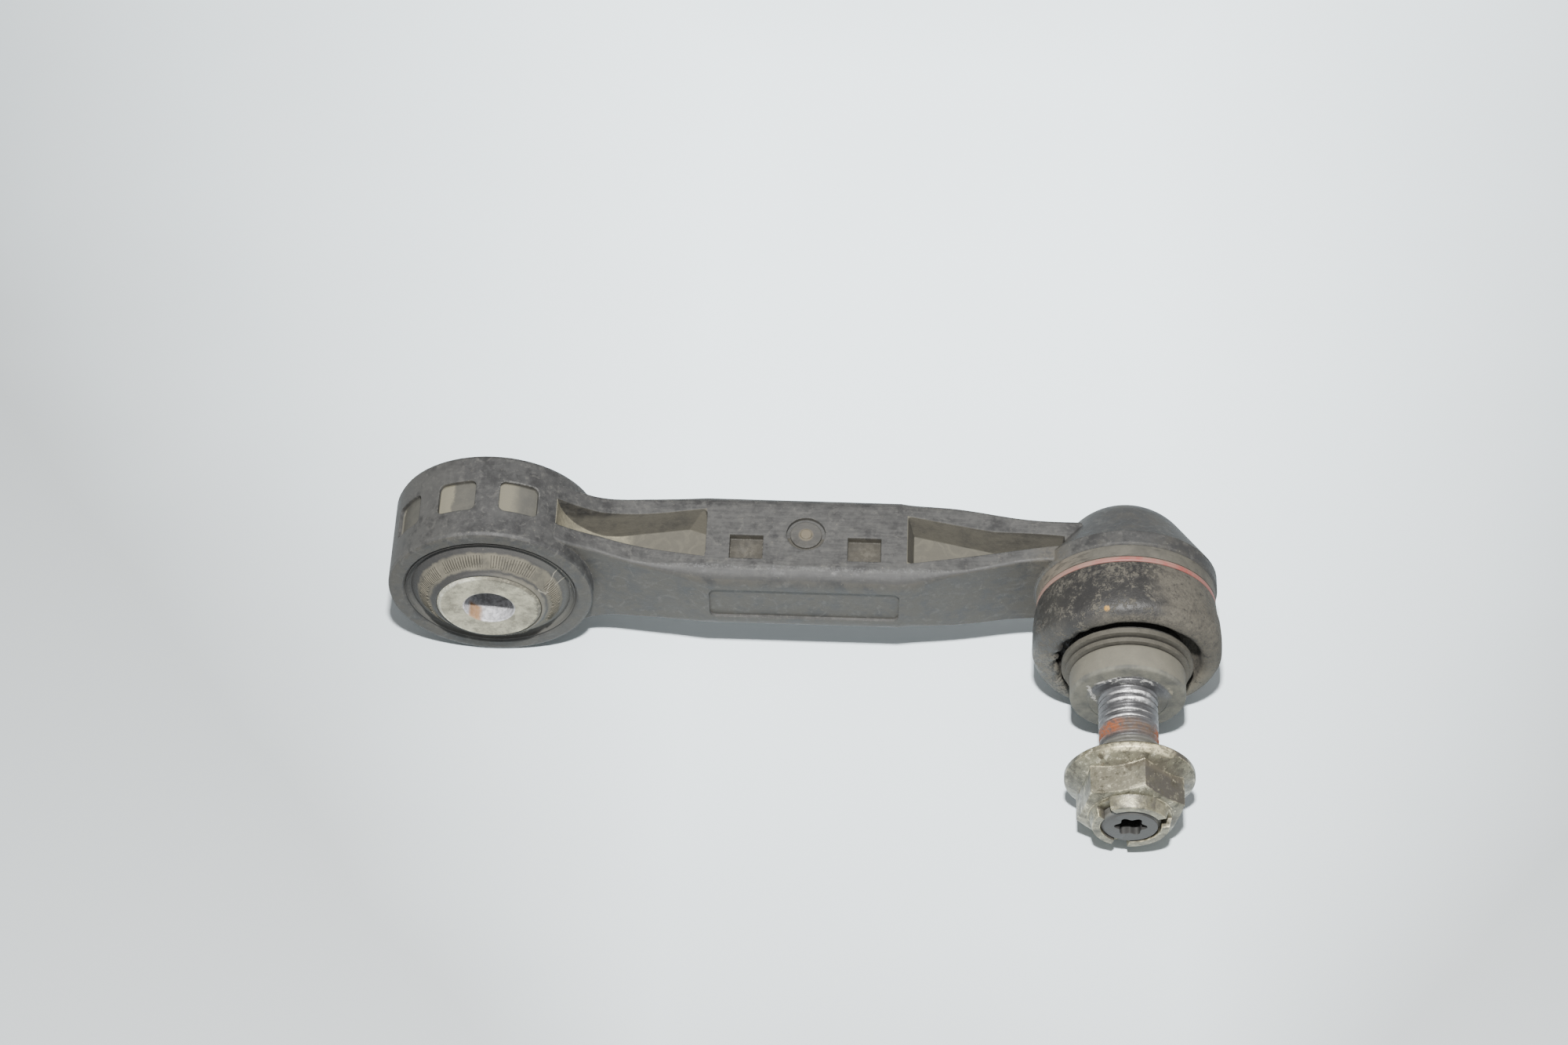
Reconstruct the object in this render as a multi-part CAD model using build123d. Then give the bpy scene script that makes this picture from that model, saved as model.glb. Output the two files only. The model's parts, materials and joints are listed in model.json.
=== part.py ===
# Short stabilizer link: a moulded rod with a rubber bush at one end and a ball joint at the other.
# The origin is the centre of the bush. X runs to the ball joint, the stud points to -Y, Z is up.
from build123d import *
import math
import os

# How finely curved outlines are stepped
CURVE_STEPS = 4
EDGE_STEPS = 2

# Main distances
CENTRE_DISTANCE = 130.2
BALL_Y = -0.9

# Bush eye
BUSH_RADIUS = 17.4
EYE_WALL = 3.6
EYE_WIDTH = 20.0
EYE_EDGE = 0.9
BUSH_MOUTH_CHAMFER = 0.7
WINDOW_COUNT = 3
WINDOW_WIDTH = 7.2
WINDOW_DEPTH = 1.1
WINDOW_ARC = 22.0
WINDOW_PITCH = 35.5
WINDOW_CORNER = 1.3

# Bush sleeve and rubber
SLEEVE_RADIUS = 10.7
SLEEVE_LENGTH = 26.9
SLEEVE_BORE = 5.1
SLEEVE_CHAMFER = 0.5
SLEEVE_BORE_CHAMFER = 0.2
RUBBER_LIP_WIDTH = 1.0
RUBBER_LIP_SET_BACK = 0.8
RUBBER_GROOVE_DEPTH = 0.3
RUBBER_SHOULDER_SET_BACK = 0.35
RUBBER_SHOULDER_WIDTH = 0.3
RUBBER_EDGE = 0.35
BOND_CLEARANCE = 0.05

# Rod
ROD_DEPTH = 21.2
ROD_HEIGHT = 19.0
ROD_CORNER = 3.5
EDGE_CORNER = 0.6
SHOULDER_FROM_EYE = 45.0
SHOULDER_FROM_BALL = 46.4
CORNER_RUN = 13.0
NECK_DEPTH_EYE = 13.6
NECK_DEPTH_BALL = 9.8
NECK_END_EYE = 22.5
NECK_END_BALL = 19.0
EYE_BLEND_RADIUS = 40.0
ROD_END_SHARE = 0.65
FLARE_STEPS = 6
BALL_FLARE_HEIGHT = 1.4

# Pockets in the top and bottom faces of the rod
WEB = 5.6
POCKET_DRAFT = 2.0
POCKET_RAMP_END = 27.5
POCKET_RAMP_RADIUS = 13.7
POCKET_EYE_END = 43.8
POCKET_EYE_HALF = 5.9
POCKET_EYE_SHIFT = 0.4
POCKET_EYE_NECK_HALF = 2.9
POCKET_BALL_START = 45.0
POCKET_BALL_HALF = 5.9
POCKET_BALL_WAIST = 27.5
POCKET_BALL_WAIST_HALF = 2.1
POCKET_BALL_TIP_HALF = 1.1
POCKET_BALL_TIP = 13.4
POCKET_CORNER = 0.8
POCKET_LEAN = 1.4
GUSSET_LENGTH = 5.4
GUSSET_WIDTH = 1.8

# Small recesses, gate mark and side panel
RECESS_DEPTH = 1.6
RECESS_LENGTH = 6.7
RECESS_WIDTH = 5.7
RECESS_NEAR_EYE = 52.3
RECESS_NEAR_BALL = 76.4
GATE_X = 64.4
GATE_Y = 0.7
GATE_RADIUS = 4.0
GATE_DEPTH = 0.9
GATE_BOSS_RADIUS = 3.2
GATE_NUB_RADIUS = 1.3
GATE_NUB_HEIGHT = 0.8
GATE_BOSS_SHARE = 0.6
GATE_NUB_TAPER = 0.8
PANEL_DEPTH = 0.6
PANEL_HEIGHT = 9.8
PANEL_CORNER = 1.6

# Ball housing
DOME_RADIUS = 14.7
HOUSING_RADIUS = 18.7
RIM_BACK = 1.6
RIM_FRONT = 4.8
FLARE_BACK = 7.6
HOUSING_EDGE = 0.4

# Ball joint inside
BALL_RADIUS = 9.5
BALL_CLEARANCE = 0.05
SEAT_WALL = 2.1
SEAT_CLEARANCE = 0.05
SEAT_END_CLEARANCE = 0.1
SEAT_RELIEF_RADIUS = 3.0
RING_THICKNESS = 2.6
RING_BORE = 9.6
RING_BEVEL = 1.2
CLAMP_THICKNESS = 1.3
CLAMP_LIP = 2.4
CLAMP_EDGE = 0.35

# Boot
BOOT_RADIUS = 19.45
BOOT_MOUTH_RADIUS = 14.6
BOOT_WALL = 1.7
BOOT_LENGTH = 13.2
BOOT_SHOULDER = 3.2
BOOT_FOLD = 1.2
BOOT_GAP = 0.05
BOOT_RISE = Vector(1, 1)

# Stud
NECK_RADIUS = 5.6
NECK_TOP_RADIUS = 6.8
NECK_TAPER_LENGTH = 5.0
COLLAR_RADIUS = 11.7
COLLAR_START = 24.1
COLLAR_LENGTH = 5.9
COLLAR_ROUND = 0.8
THREAD_RADIUS = 5.98
RELIEF_START = 46.0
RELIEF_WIDTH = 1.0
RELIEF_RADIUS = 5.5
STUD_END = 59.4
STUD_CHAMFER = 0.6
SOCKET_RADIUS = 3.25
SOCKET_LOBE = 0.95
SOCKET_DEPTH = 5.5
SEAT_SPOT_RADIUS = 8.0
SEAT_SPOT_HEIGHT = 0.25

# Seal ring on the stud, and the flat spring band round the boot's neck
SEAL_BORE_CLEARANCE = 0.05
SEAL_HUB_RADIUS = 9.4
SEAL_HUB_LENGTH = 3.6
SEAL_RIM_RADIUS = 13.3
SEAL_RIM_WIDTH = 1.1
SEAL_GROOVE_DEPTH = 1.0
SEAL_GROOVE_WIDTH = 0.6
SEAL_STEP_RADIUS = 12.5
SEAL_STEP_WIDTH = 0.95
SEAL_END_CLEARANCE = 0.05
BAND_THICKNESS = 0.7
BAND_WIDTH = 1.6
BAND_SET_BACK = 1.0

# Nut
NUT_FACE = 47.3
NUT_FLANGE_RADIUS = 13.0
NUT_FLANGE_EDGE = 1.5
NUT_FLANGE_CORNER = 0.5
NUT_FLANGE_HEIGHT = 3.6
NUT_ACROSS_FLATS = 19.0
NUT_HEX_END = 9.6
NUT_HEIGHT = 12.2
NUT_CHAMFER = 1.3
NUT_CHAMFER_INSET = 0.5
NUT_TURN = 19.0
CROWN_RADIUS = 7.6
CROWN_BASE_RADIUS = 8.3
CROWN_SLOTS = 3
CROWN_SLOT_WIDTH = 3.2
CROWN_SLOT_DEPTH = 2.0
CROWN_TURN = -137.0
THREAD_CLEARANCE = 0.05

# Values worked out from the sizes above
EYE_RADIUS = BUSH_RADIUS + EYE_WALL
HALF_EYE = EYE_WIDTH / 2
HALF_ROD = ROD_DEPTH / 2
HALF_HEIGHT = ROD_HEIGHT / 2
SHOULDER_BALL_X = CENTRE_DISTANCE - SHOULDER_FROM_BALL
NECK_BALL_X = CENTRE_DISTANCE - NECK_END_BALL
WINDOW_FLOOR = EYE_RADIUS - WINDOW_DEPTH
SEAT_RADIUS = BALL_RADIUS + SEAT_WALL
RING_FACE = RIM_FRONT + RING_THICKNESS
BOOT_START = RING_FACE + CLAMP_THICKNESS
COLLAR_FACE = COLLAR_START + COLLAR_LENGTH
BOOT_NECK_RADIUS = SEAL_HUB_RADIUS + BOOT_GAP
SEAL_BORE = NECK_TOP_RADIUS + SEAL_BORE_CLEARANCE
SEAL_RIM_BACK = COLLAR_START - SEAL_END_CLEARANCE - SEAL_STEP_WIDTH - SEAL_GROOVE_WIDTH - SEAL_RIM_WIDTH
SEAL_HUB_BACK = SEAL_RIM_BACK - SEAL_HUB_LENGTH
NECK_TAPER_END = SEAL_HUB_BACK - 1
NECK_TAPER_START = NECK_TAPER_END - NECK_TAPER_LENGTH
OVERSIZE = 60.0


def turned(points):
    """Solid turned about Y from a closed outline of (radius, y) points."""
    face = make_face(Polyline(*points, close=True))
    return revolve(face, Axis.Y, 360)


def rounded(radius, y, edge, side):
    """Points that round a rim, from its face to its wall. The piece lies on that side of y."""
    points = []
    for i in range(EDGE_STEPS + 1):
        angle = math.radians(90 * i / EDGE_STEPS)
        out = radius - edge + edge * math.sin(angle)
        points.append((out, y + side * (edge - edge * math.cos(angle))))
    return points


def at_ball(shape):
    """Moves a shape that was made about its own Y axis to the ball centre."""
    return Pos(CENTRE_DISTANCE, BALL_Y, 0) * shape


def disc(radius, y_from, y_to):
    """Cylinder about Y between two places."""
    body = Cylinder(radius, abs(y_to - y_from))
    return Pos(0, (y_from + y_to) / 2, 0) * Rot(90, 0, 0) * body


def section(x, half_depth, half_height, corner):
    """Rounded cross-section of the rod."""
    return Plane.YZ.offset(x) * RectangleRounded(2 * half_depth, 2 * half_height, corner)


def eye_blend_height(x):
    """Half height of the rod where its top sweeps up, by an arc that is tangent to the rod and to the eye."""
    centre_height = HALF_HEIGHT + EYE_BLEND_RADIUS
    centre_x = math.sqrt((EYE_RADIUS + EYE_BLEND_RADIUS) ** 2 - centre_height**2)
    run = max(centre_x - x, 0)
    return centre_height - math.sqrt(EYE_BLEND_RADIUS**2 - run**2)


def corner_at(distance):
    """Corner radius of the rod, which fades out over CORNER_RUN from a shoulder."""
    share = min(max(1 - distance / CORNER_RUN, 0), 1)
    return EDGE_CORNER + (ROD_CORNER - EDGE_CORNER) * share


def eye_flare():
    """Rod between the eye and its full section."""
    faces = []
    start = EYE_RADIUS * ROD_END_SHARE
    for i in range(FLARE_STEPS + 1):
        x = start + (SHOULDER_FROM_EYE - start) * i / FLARE_STEPS
        share = max(x - NECK_END_EYE, 0) / (SHOULDER_FROM_EYE - NECK_END_EYE)
        half = NECK_DEPTH_EYE / 2 + (HALF_ROD - NECK_DEPTH_EYE / 2) * share
        faces.append(section(x, half, eye_blend_height(x), corner_at(SHOULDER_FROM_EYE - x)))
    return loft(faces)


def ball_flare():
    """Rod between its full section and the ball housing."""
    faces = []
    end = CENTRE_DISTANCE - DOME_RADIUS * ROD_END_SHARE
    for i in range(FLARE_STEPS + 1):
        x = SHOULDER_BALL_X + (end - SHOULDER_BALL_X) * i / FLARE_STEPS
        share = min((x - SHOULDER_BALL_X) / (NECK_BALL_X - SHOULDER_BALL_X), 1)
        half = HALF_ROD + (NECK_DEPTH_BALL / 2 - HALF_ROD) * share
        height = HALF_HEIGHT + BALL_FLARE_HEIGHT * share**2
        faces.append(section(x, half, height, corner_at(x - SHOULDER_BALL_X)))
    return loft(faces)


def rod():
    """Whole rod, from inside the eye to inside the housing."""
    full = section(SHOULDER_FROM_EYE, HALF_ROD, HALF_HEIGHT, ROD_CORNER)
    middle = extrude(full, SHOULDER_BALL_X - SHOULDER_FROM_EYE)
    return eye_flare() + middle + ball_flare()


def eye():
    """Plain eye ring with rounded edges, before its bore is cut."""
    front = rounded(EYE_RADIUS, -HALF_EYE, EYE_EDGE, 1)
    back = rounded(EYE_RADIUS, HALF_EYE, EYE_EDGE, -1)
    return turned([(0, -HALF_EYE)] + front + back[::-1] + [(0, HALF_EYE)])


def housing():
    """Dome, flare and rim of the ball housing."""
    flare_radius = math.sqrt(DOME_RADIUS**2 - FLARE_BACK**2)
    body = turned([
        (0, FLARE_BACK), (flare_radius, FLARE_BACK), (HOUSING_RADIUS, -RIM_BACK),
        (HOUSING_RADIUS, -RIM_FRONT + HOUSING_EDGE), (HOUSING_RADIUS - HOUSING_EDGE, -RIM_FRONT),
        (0, -RIM_FRONT),
    ])
    return body + (Sphere(DOME_RADIUS) - disc(OVERSIZE, -OVERSIZE, -RIM_BACK))


def window(angle):
    """Cutter for one window of the eye."""
    chord = 2 * EYE_RADIUS * math.sin(math.radians(WINDOW_ARC / 2))
    outline = RectangleRounded(chord, WINDOW_WIDTH, WINDOW_CORNER)
    block = extrude(Plane.XY.offset(BUSH_RADIUS) * outline, 2 * EYE_WALL)
    return Rot(0, 90 - angle, 0) * block


def windows():
    """All windows, above and below the parting plane, down to the eye's inner wall."""
    cut = []
    for side in (0, 180):
        for i in range(WINDOW_COUNT):
            angle = 90 + (i - 0.5) * WINDOW_PITCH
            cut.append(Rot(side, 0, 0) * window(angle))
    core = disc(WINDOW_FLOOR, -HALF_EYE, HALF_EYE)
    return Part() + cut - core


def pocket(outline):
    """Cutter for a drafted pocket down to the web, above the parting plane."""
    floor = Plane.XY.offset(WEB / 2) * outline
    return extrude(floor, OVERSIZE / 2, taper=-POCKET_DRAFT)


def floor_half(half):
    """Half width of a pocket at its floor, from the half width at the rod's face."""
    return half - (HALF_HEIGHT - WEB / 2) * math.tan(math.radians(POCKET_DRAFT))


def eye_pocket():
    """Pocket beside the eye, with a ramp that climbs to the eye and a gusset in its far corner."""
    wide = floor_half(POCKET_EYE_HALF)
    narrow = floor_half(POCKET_EYE_NECK_HALF)
    start = EYE_RADIUS * ROD_END_SHARE
    outline = Polyline(
        (start, -narrow),
        (NECK_END_EYE, -narrow),
        (POCKET_EYE_END, POCKET_EYE_SHIFT - wide),
        (POCKET_EYE_END, POCKET_EYE_SHIFT + wide),
        (NECK_END_EYE, narrow),
        (start, narrow),
        close=True,
    )
    face = make_face(outline)
    face = fillet(face.vertices().group_by(Axis.X)[-1], POCKET_CORNER)
    return pocket(face) - ramp() - gusset(POCKET_EYE_SHIFT + wide)


def ramp():
    """Hollow ramp that climbs from the floor of the eye pocket and ends upright at the eye."""
    r = POCKET_RAMP_RADIUS
    block = Box(POCKET_RAMP_END, EYE_WIDTH, OVERSIZE, align=(Align.MAX, Align.CENTER, Align.MIN))
    scoop = disc(r, -HALF_EYE, HALF_EYE)
    scoop += Box(2 * r, EYE_WIDTH, OVERSIZE, align=(Align.CENTER, Align.CENTER, Align.MIN))
    return Pos(POCKET_RAMP_END, 0, WEB / 2) * (block - Pos(0, 0, r) * scoop)


def gusset(y):
    """Three-sided web left in the far corner of the eye pocket."""
    rise = HALF_HEIGHT - WEB / 2
    along = Vector(-GUSSET_LENGTH, 0, 0)
    across = Vector(0, -GUSSET_WIDTH, 0)
    top = Vector(0, 0, rise)
    slope = Plane(origin=along, x_dir=across - along, z_dir=(across - along).cross(top - along))
    block = Box(4 * GUSSET_LENGTH, 4 * GUSSET_WIDTH, 4 * rise)
    web = split(block, bisect_by=slope, keep=Keep.BOTTOM)
    return Pos(POCKET_EYE_END, y, WEB / 2) * web


def ball_pocket():
    """Pocket that tapers towards the ball housing, with a sloped wall at its wide end."""
    wide = floor_half(POCKET_BALL_HALF)
    tip = floor_half(POCKET_BALL_TIP_HALF)
    start = CENTRE_DISTANCE - POCKET_BALL_START
    waist = (CENTRE_DISTANCE - POCKET_BALL_WAIST, floor_half(POCKET_BALL_WAIST_HALF))
    end = CENTRE_DISTANCE - POCKET_BALL_TIP
    outline = Polyline((start, -wide), (end, -tip), (end, tip), waist, (start, wide), close=True)
    face = make_face(outline)
    face = fillet(face.vertices().group_by(Axis.X)[0], POCKET_CORNER)
    return pocket(face) - lean(start)


def lean(x):
    """Slope under the end wall of the ball pocket."""
    floor = WEB / 2
    side = Polyline((x - POCKET_LEAN, floor), (x + POCKET_LEAN, floor), (x, HALF_HEIGHT),
                    (x - POCKET_LEAN, HALF_HEIGHT), close=True)
    return extrude(Plane.XZ * make_face(side), OVERSIZE / 2, both=True)


def pockets():
    """Pockets above and below the web."""
    upper = eye_pocket() + ball_pocket()
    return upper + mirror(upper, Plane.XY)


def recess(x):
    """Cutter for a small recess in the front half of the top face."""
    size = Rectangle(RECESS_LENGTH, RECESS_WIDTH)
    floor = Plane.XY.offset(HALF_HEIGHT - RECESS_DEPTH) * size
    return Pos(x, -RECESS_WIDTH / 2, 0) * extrude(floor, RECESS_DEPTH * 2, taper=-POCKET_DRAFT)


def gate():
    """Ring-shaped cutter round the gate mark, which leaves a boss and a nub."""
    floor = HALF_HEIGHT - GATE_DEPTH
    dish = Cylinder(GATE_RADIUS, GATE_DEPTH * 2, align=(Align.CENTER, Align.CENTER, Align.MIN))
    boss_height = GATE_DEPTH * GATE_BOSS_SHARE
    boss = Cylinder(GATE_BOSS_RADIUS, boss_height, align=(Align.CENTER, Align.CENTER, Align.MIN))
    nub = Cone(GATE_NUB_RADIUS, GATE_NUB_RADIUS * GATE_NUB_TAPER, GATE_NUB_HEIGHT + boss_height,
               align=(Align.CENTER, Align.CENTER, Align.MIN))
    return Pos(GATE_X, GATE_Y, floor) * (dish - boss - nub)


def panel(side):
    """Cutter for the shallow panel in one side face of the rod."""
    length = SHOULDER_BALL_X - SHOULDER_FROM_EYE
    outline = RectangleRounded(length, PANEL_HEIGHT, PANEL_CORNER)
    middle = (SHOULDER_BALL_X + SHOULDER_FROM_EYE) / 2
    plane = Plane.XZ.offset(-side * (HALF_ROD - PANEL_DEPTH))
    return Pos(middle, 0, 0) * extrude(plane * outline, -side * PANEL_DEPTH * 2)


def bowl(radius, front):
    """Half ball with a straight wall down to its mouth. Its poles are turned away from the mouth's edge."""
    return Rot(45, 0, 0) * Sphere(radius) + disc(radius, -front, 0)


def housing_cavity():
    """Space for the seat, open at the mouth of the housing."""
    return bowl(SEAT_RADIUS + SEAT_CLEARANCE, RIM_FRONT + HOUSING_EDGE)


def bush_bore():
    """Bore of the eye with a chamfer at both mouths."""
    deep = HALF_EYE
    r = BUSH_RADIUS
    c = BUSH_MOUTH_CHAMFER
    return turned([(0, -deep), (r + c, -deep), (r, -deep + c), (r, deep - c), (r + c, deep), (0, deep)])


def link_body():
    """The one moulding of eye, rod and housing."""
    body = eye() + rod() + at_ball(housing())
    body -= bush_bore()
    body -= windows()
    body -= pockets()
    body -= at_ball(housing_cavity())
    body -= recess(RECESS_NEAR_EYE)
    body -= recess(RECESS_NEAR_BALL)
    body -= gate()
    for side in (-1, 1):
        body -= panel(side)
    return body


def bush_sleeve():
    """Inner metal sleeve."""
    half = SLEEVE_LENGTH / 2
    c = SLEEVE_CHAMFER
    b = SLEEVE_BORE_CHAMFER
    return turned([
        (SLEEVE_BORE + b, -half), (SLEEVE_RADIUS - c, -half), (SLEEVE_RADIUS, -half + c),
        (SLEEVE_RADIUS, half - c), (SLEEVE_RADIUS - c, half), (SLEEVE_BORE + b, half),
        (SLEEVE_BORE, half - b), (SLEEVE_BORE, -half + b),
    ])


def rubber_face(sign):
    """Outline of one face of the rubber: a cone that falls from the sleeve to a low lip at the eye."""
    lip = HALF_EYE - RUBBER_LIP_SET_BACK
    groove = lip - RUBBER_GROOVE_DEPTH
    shoulder = SLEEVE_LENGTH / 2 - RUBBER_SHOULDER_SET_BACK
    inner = SLEEVE_RADIUS + BOND_CLEARANCE
    lip_inner = BUSH_RADIUS - RUBBER_LIP_WIDTH
    return [
        (inner, sign * shoulder),
        (inner + RUBBER_SHOULDER_WIDTH, sign * shoulder),
        (lip_inner - RUBBER_EDGE, sign * (groove + RUBBER_EDGE)),
        (lip_inner, sign * groove),
        (lip_inner + RUBBER_EDGE, sign * lip),
        (BUSH_RADIUS - RUBBER_EDGE, sign * lip),
        (BUSH_RADIUS, sign * (lip - RUBBER_EDGE)),
    ]


def bush_rubber():
    """Rubber ring between the eye and the sleeve."""
    front = rubber_face(-1)
    back = rubber_face(1)
    return turned(front + back[::-1])


def ball_seat():
    """Bearing shell round the ball, open in front and relieved at its pole for grease."""
    front = RIM_FRONT - SEAT_END_CLEARANCE
    shell = bowl(SEAT_RADIUS, front) - disc(OVERSIZE, -OVERSIZE, -front)
    relief = disc(SEAT_RELIEF_RADIUS, 0, OVERSIZE)
    return shell - Sphere(BALL_RADIUS + BALL_CLEARANCE) - relief


def closing_ring():
    """Ring welded to the rim of the housing, which keeps the seat in."""
    outer = HOUSING_RADIUS - HOUSING_EDGE
    return turned([
        (RING_BORE, -RIM_FRONT), (outer, -RIM_FRONT),
        (outer, -RING_FACE), (RING_BORE + RING_BEVEL, -RING_FACE),
    ])


def boot_clamp_ring():
    """Red ring that holds the wide end of the boot."""
    outer = HOUSING_RADIUS - HOUSING_EDGE
    back = rounded(outer, -RING_FACE, CLAMP_EDGE, -1)
    front = rounded(outer, -BOOT_START, CLAMP_EDGE, 1)
    return turned([(outer - CLAMP_LIP, -RING_FACE)] + back + front[::-1] + [(outer - CLAMP_LIP, -BOOT_START)])


def boot_neck_ring():
    """Flat spring band on the neck of the boot."""
    inner = BOOT_NECK_RADIUS + BOOT_WALL + BOOT_GAP
    outer = inner + BAND_THICKNESS
    front = BAND_SET_BACK - SEAL_RIM_BACK
    back = front + BAND_WIDTH
    return turned([(inner, front), (outer, front), (outer, back), (inner, back)])


def arc_about(centre, start, end):
    """Shorter arc between two points about a centre."""
    towards = ((start + end) / 2 - centre).normalized()
    return ThreePointArc(start, centre + towards * (start - centre).length, end)


def boot_side(offset):
    """One side of the boot's wall, offset from its middle line: bulge, front shoulder, fold and inner wall."""
    half = BOOT_WALL / 2
    bulge = BOOT_RADIUS - half
    fold = BOOT_MOUTH_RADIUS + half
    mouth = BOOT_START + BOOT_LENGTH - half
    shoulder = Vector(bulge - BOOT_SHOULDER, -mouth + BOOT_SHOULDER)
    hem = Vector(fold + BOOT_FOLD, -mouth + BOOT_FOLD)
    start = Vector(HOUSING_RADIUS - HOUSING_EDGE - BOOT_WALL, -BOOT_START - half)
    start += BOOT_RISE.normalized() * offset
    widest = Vector(bulge + offset, shoulder.Y)
    front = Vector(shoulder.X, -mouth - offset)
    turn = Vector(hem.X, -mouth - offset)
    inner = Vector(fold - offset, hem.Y)
    neck = Vector(BOOT_NECK_RADIUS + half, -SEAL_HUB_BACK + half - offset)
    return [
        Spline(start, widest, tangents=[(BOOT_RISE.Y, -BOOT_RISE.X), (0, -1)]),
        arc_about(shoulder, widest, front),
        Line(front, turn),
        arc_about(hem, turn, inner),
        Spline(inner, neck, tangents=[(0, 1), (-1, 0)]),
    ]


def stepped(edges):
    """Points along a chain of edges, with a few on each curve."""
    points = [edges[0] @ 0]
    for edge in edges:
        steps = 1 if edge.geom_type == GeomType.LINE else CURVE_STEPS
        for i in range(steps):
            points.append(edge @ ((i + 1) / steps))
    return points


def dust_boot():
    """Rubber boot: bead under the clamp ring, bulge, and mouth folded back to a neck on the seal ring."""
    bead_outer = HOUSING_RADIUS - HOUSING_EDGE - CLAMP_LIP - BOOT_GAP
    neck = BOOT_NECK_RADIUS
    bead = turned([
        (bead_outer - BOOT_WALL, -RING_FACE - BOOT_GAP), (bead_outer, -RING_FACE - BOOT_GAP),
        (bead_outer, -BOOT_START - BOOT_GAP), (bead_outer + CLAMP_LIP, -BOOT_START - BOOT_GAP),
        (bead_outer + CLAMP_LIP, -BOOT_START - BOOT_WALL), (bead_outer - BOOT_WALL, -BOOT_START - BOOT_WALL),
    ])
    lip = turned([
        (neck, -SEAL_HUB_BACK + BOOT_WALL), (neck + BOOT_WALL, -SEAL_HUB_BACK + BOOT_WALL),
        (neck + BOOT_WALL, -SEAL_RIM_BACK + BOOT_GAP), (neck, -SEAL_RIM_BACK + BOOT_GAP),
    ])
    outer = stepped(boot_side(BOOT_WALL / 2))
    inner = stepped(boot_side(-BOOT_WALL / 2))
    return bead + turned(outer + inner[::-1]) + lip


def seal_ring():
    """Stepped ring between the boot's neck and the stud's collar."""
    rim_front = SEAL_RIM_BACK + SEAL_RIM_WIDTH
    groove_front = rim_front + SEAL_GROOVE_WIDTH
    front = COLLAR_START - SEAL_END_CLEARANCE
    return turned([
        (SEAL_BORE, -SEAL_HUB_BACK), (SEAL_HUB_RADIUS, -SEAL_HUB_BACK),
        (SEAL_HUB_RADIUS, -SEAL_RIM_BACK), (SEAL_RIM_RADIUS, -SEAL_RIM_BACK),
        (SEAL_RIM_RADIUS, -rim_front), (SEAL_STEP_RADIUS - SEAL_GROOVE_DEPTH, -rim_front),
        (SEAL_STEP_RADIUS - SEAL_GROOVE_DEPTH, -groove_front), (SEAL_STEP_RADIUS, -groove_front),
        (SEAL_STEP_RADIUS, -front), (SEAL_BORE, -front),
    ])


def ball_stud():
    """Ball, neck, collar and shank, turned as one, with the key socket in its end."""
    relief_end = RELIEF_START + RELIEF_WIDTH
    shank = turned([
        (0, 0), (NECK_RADIUS, 0), (NECK_RADIUS, -NECK_TAPER_START), (NECK_TOP_RADIUS, -NECK_TAPER_END),
        (NECK_TOP_RADIUS, -COLLAR_FACE), (THREAD_RADIUS, -COLLAR_FACE),
        (THREAD_RADIUS, -RELIEF_START), (RELIEF_RADIUS, -RELIEF_START), (RELIEF_RADIUS, -relief_end),
        (THREAD_RADIUS, -relief_end), (THREAD_RADIUS, -STUD_END + STUD_CHAMFER),
        (THREAD_RADIUS - STUD_CHAMFER, -STUD_END), (0, -STUD_END),
    ])
    rim = rounded(COLLAR_RADIUS, -COLLAR_FACE, COLLAR_ROUND, 1)
    collar = turned([(0, -COLLAR_FACE)] + rim + [(COLLAR_RADIUS, -COLLAR_START), (0, -COLLAR_START)])
    spot = disc(SEAT_SPOT_RADIUS, -COLLAR_FACE, -COLLAR_FACE - SEAT_SPOT_HEIGHT)
    return shank + collar + spot + Sphere(BALL_RADIUS) - socket()


def socket():
    """Six-lobed key socket."""
    star = Circle(SOCKET_RADIUS - SOCKET_LOBE)
    for i in range(6):
        angle = math.radians(60 * i)
        reach = SOCKET_RADIUS - SOCKET_LOBE
        star += Pos(reach * math.cos(angle), reach * math.sin(angle)) * Circle(SOCKET_LOBE)
    plane = Plane.XZ.offset(STUD_END - SOCKET_DEPTH)
    return extrude(plane * star, SOCKET_DEPTH * 2)


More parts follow.
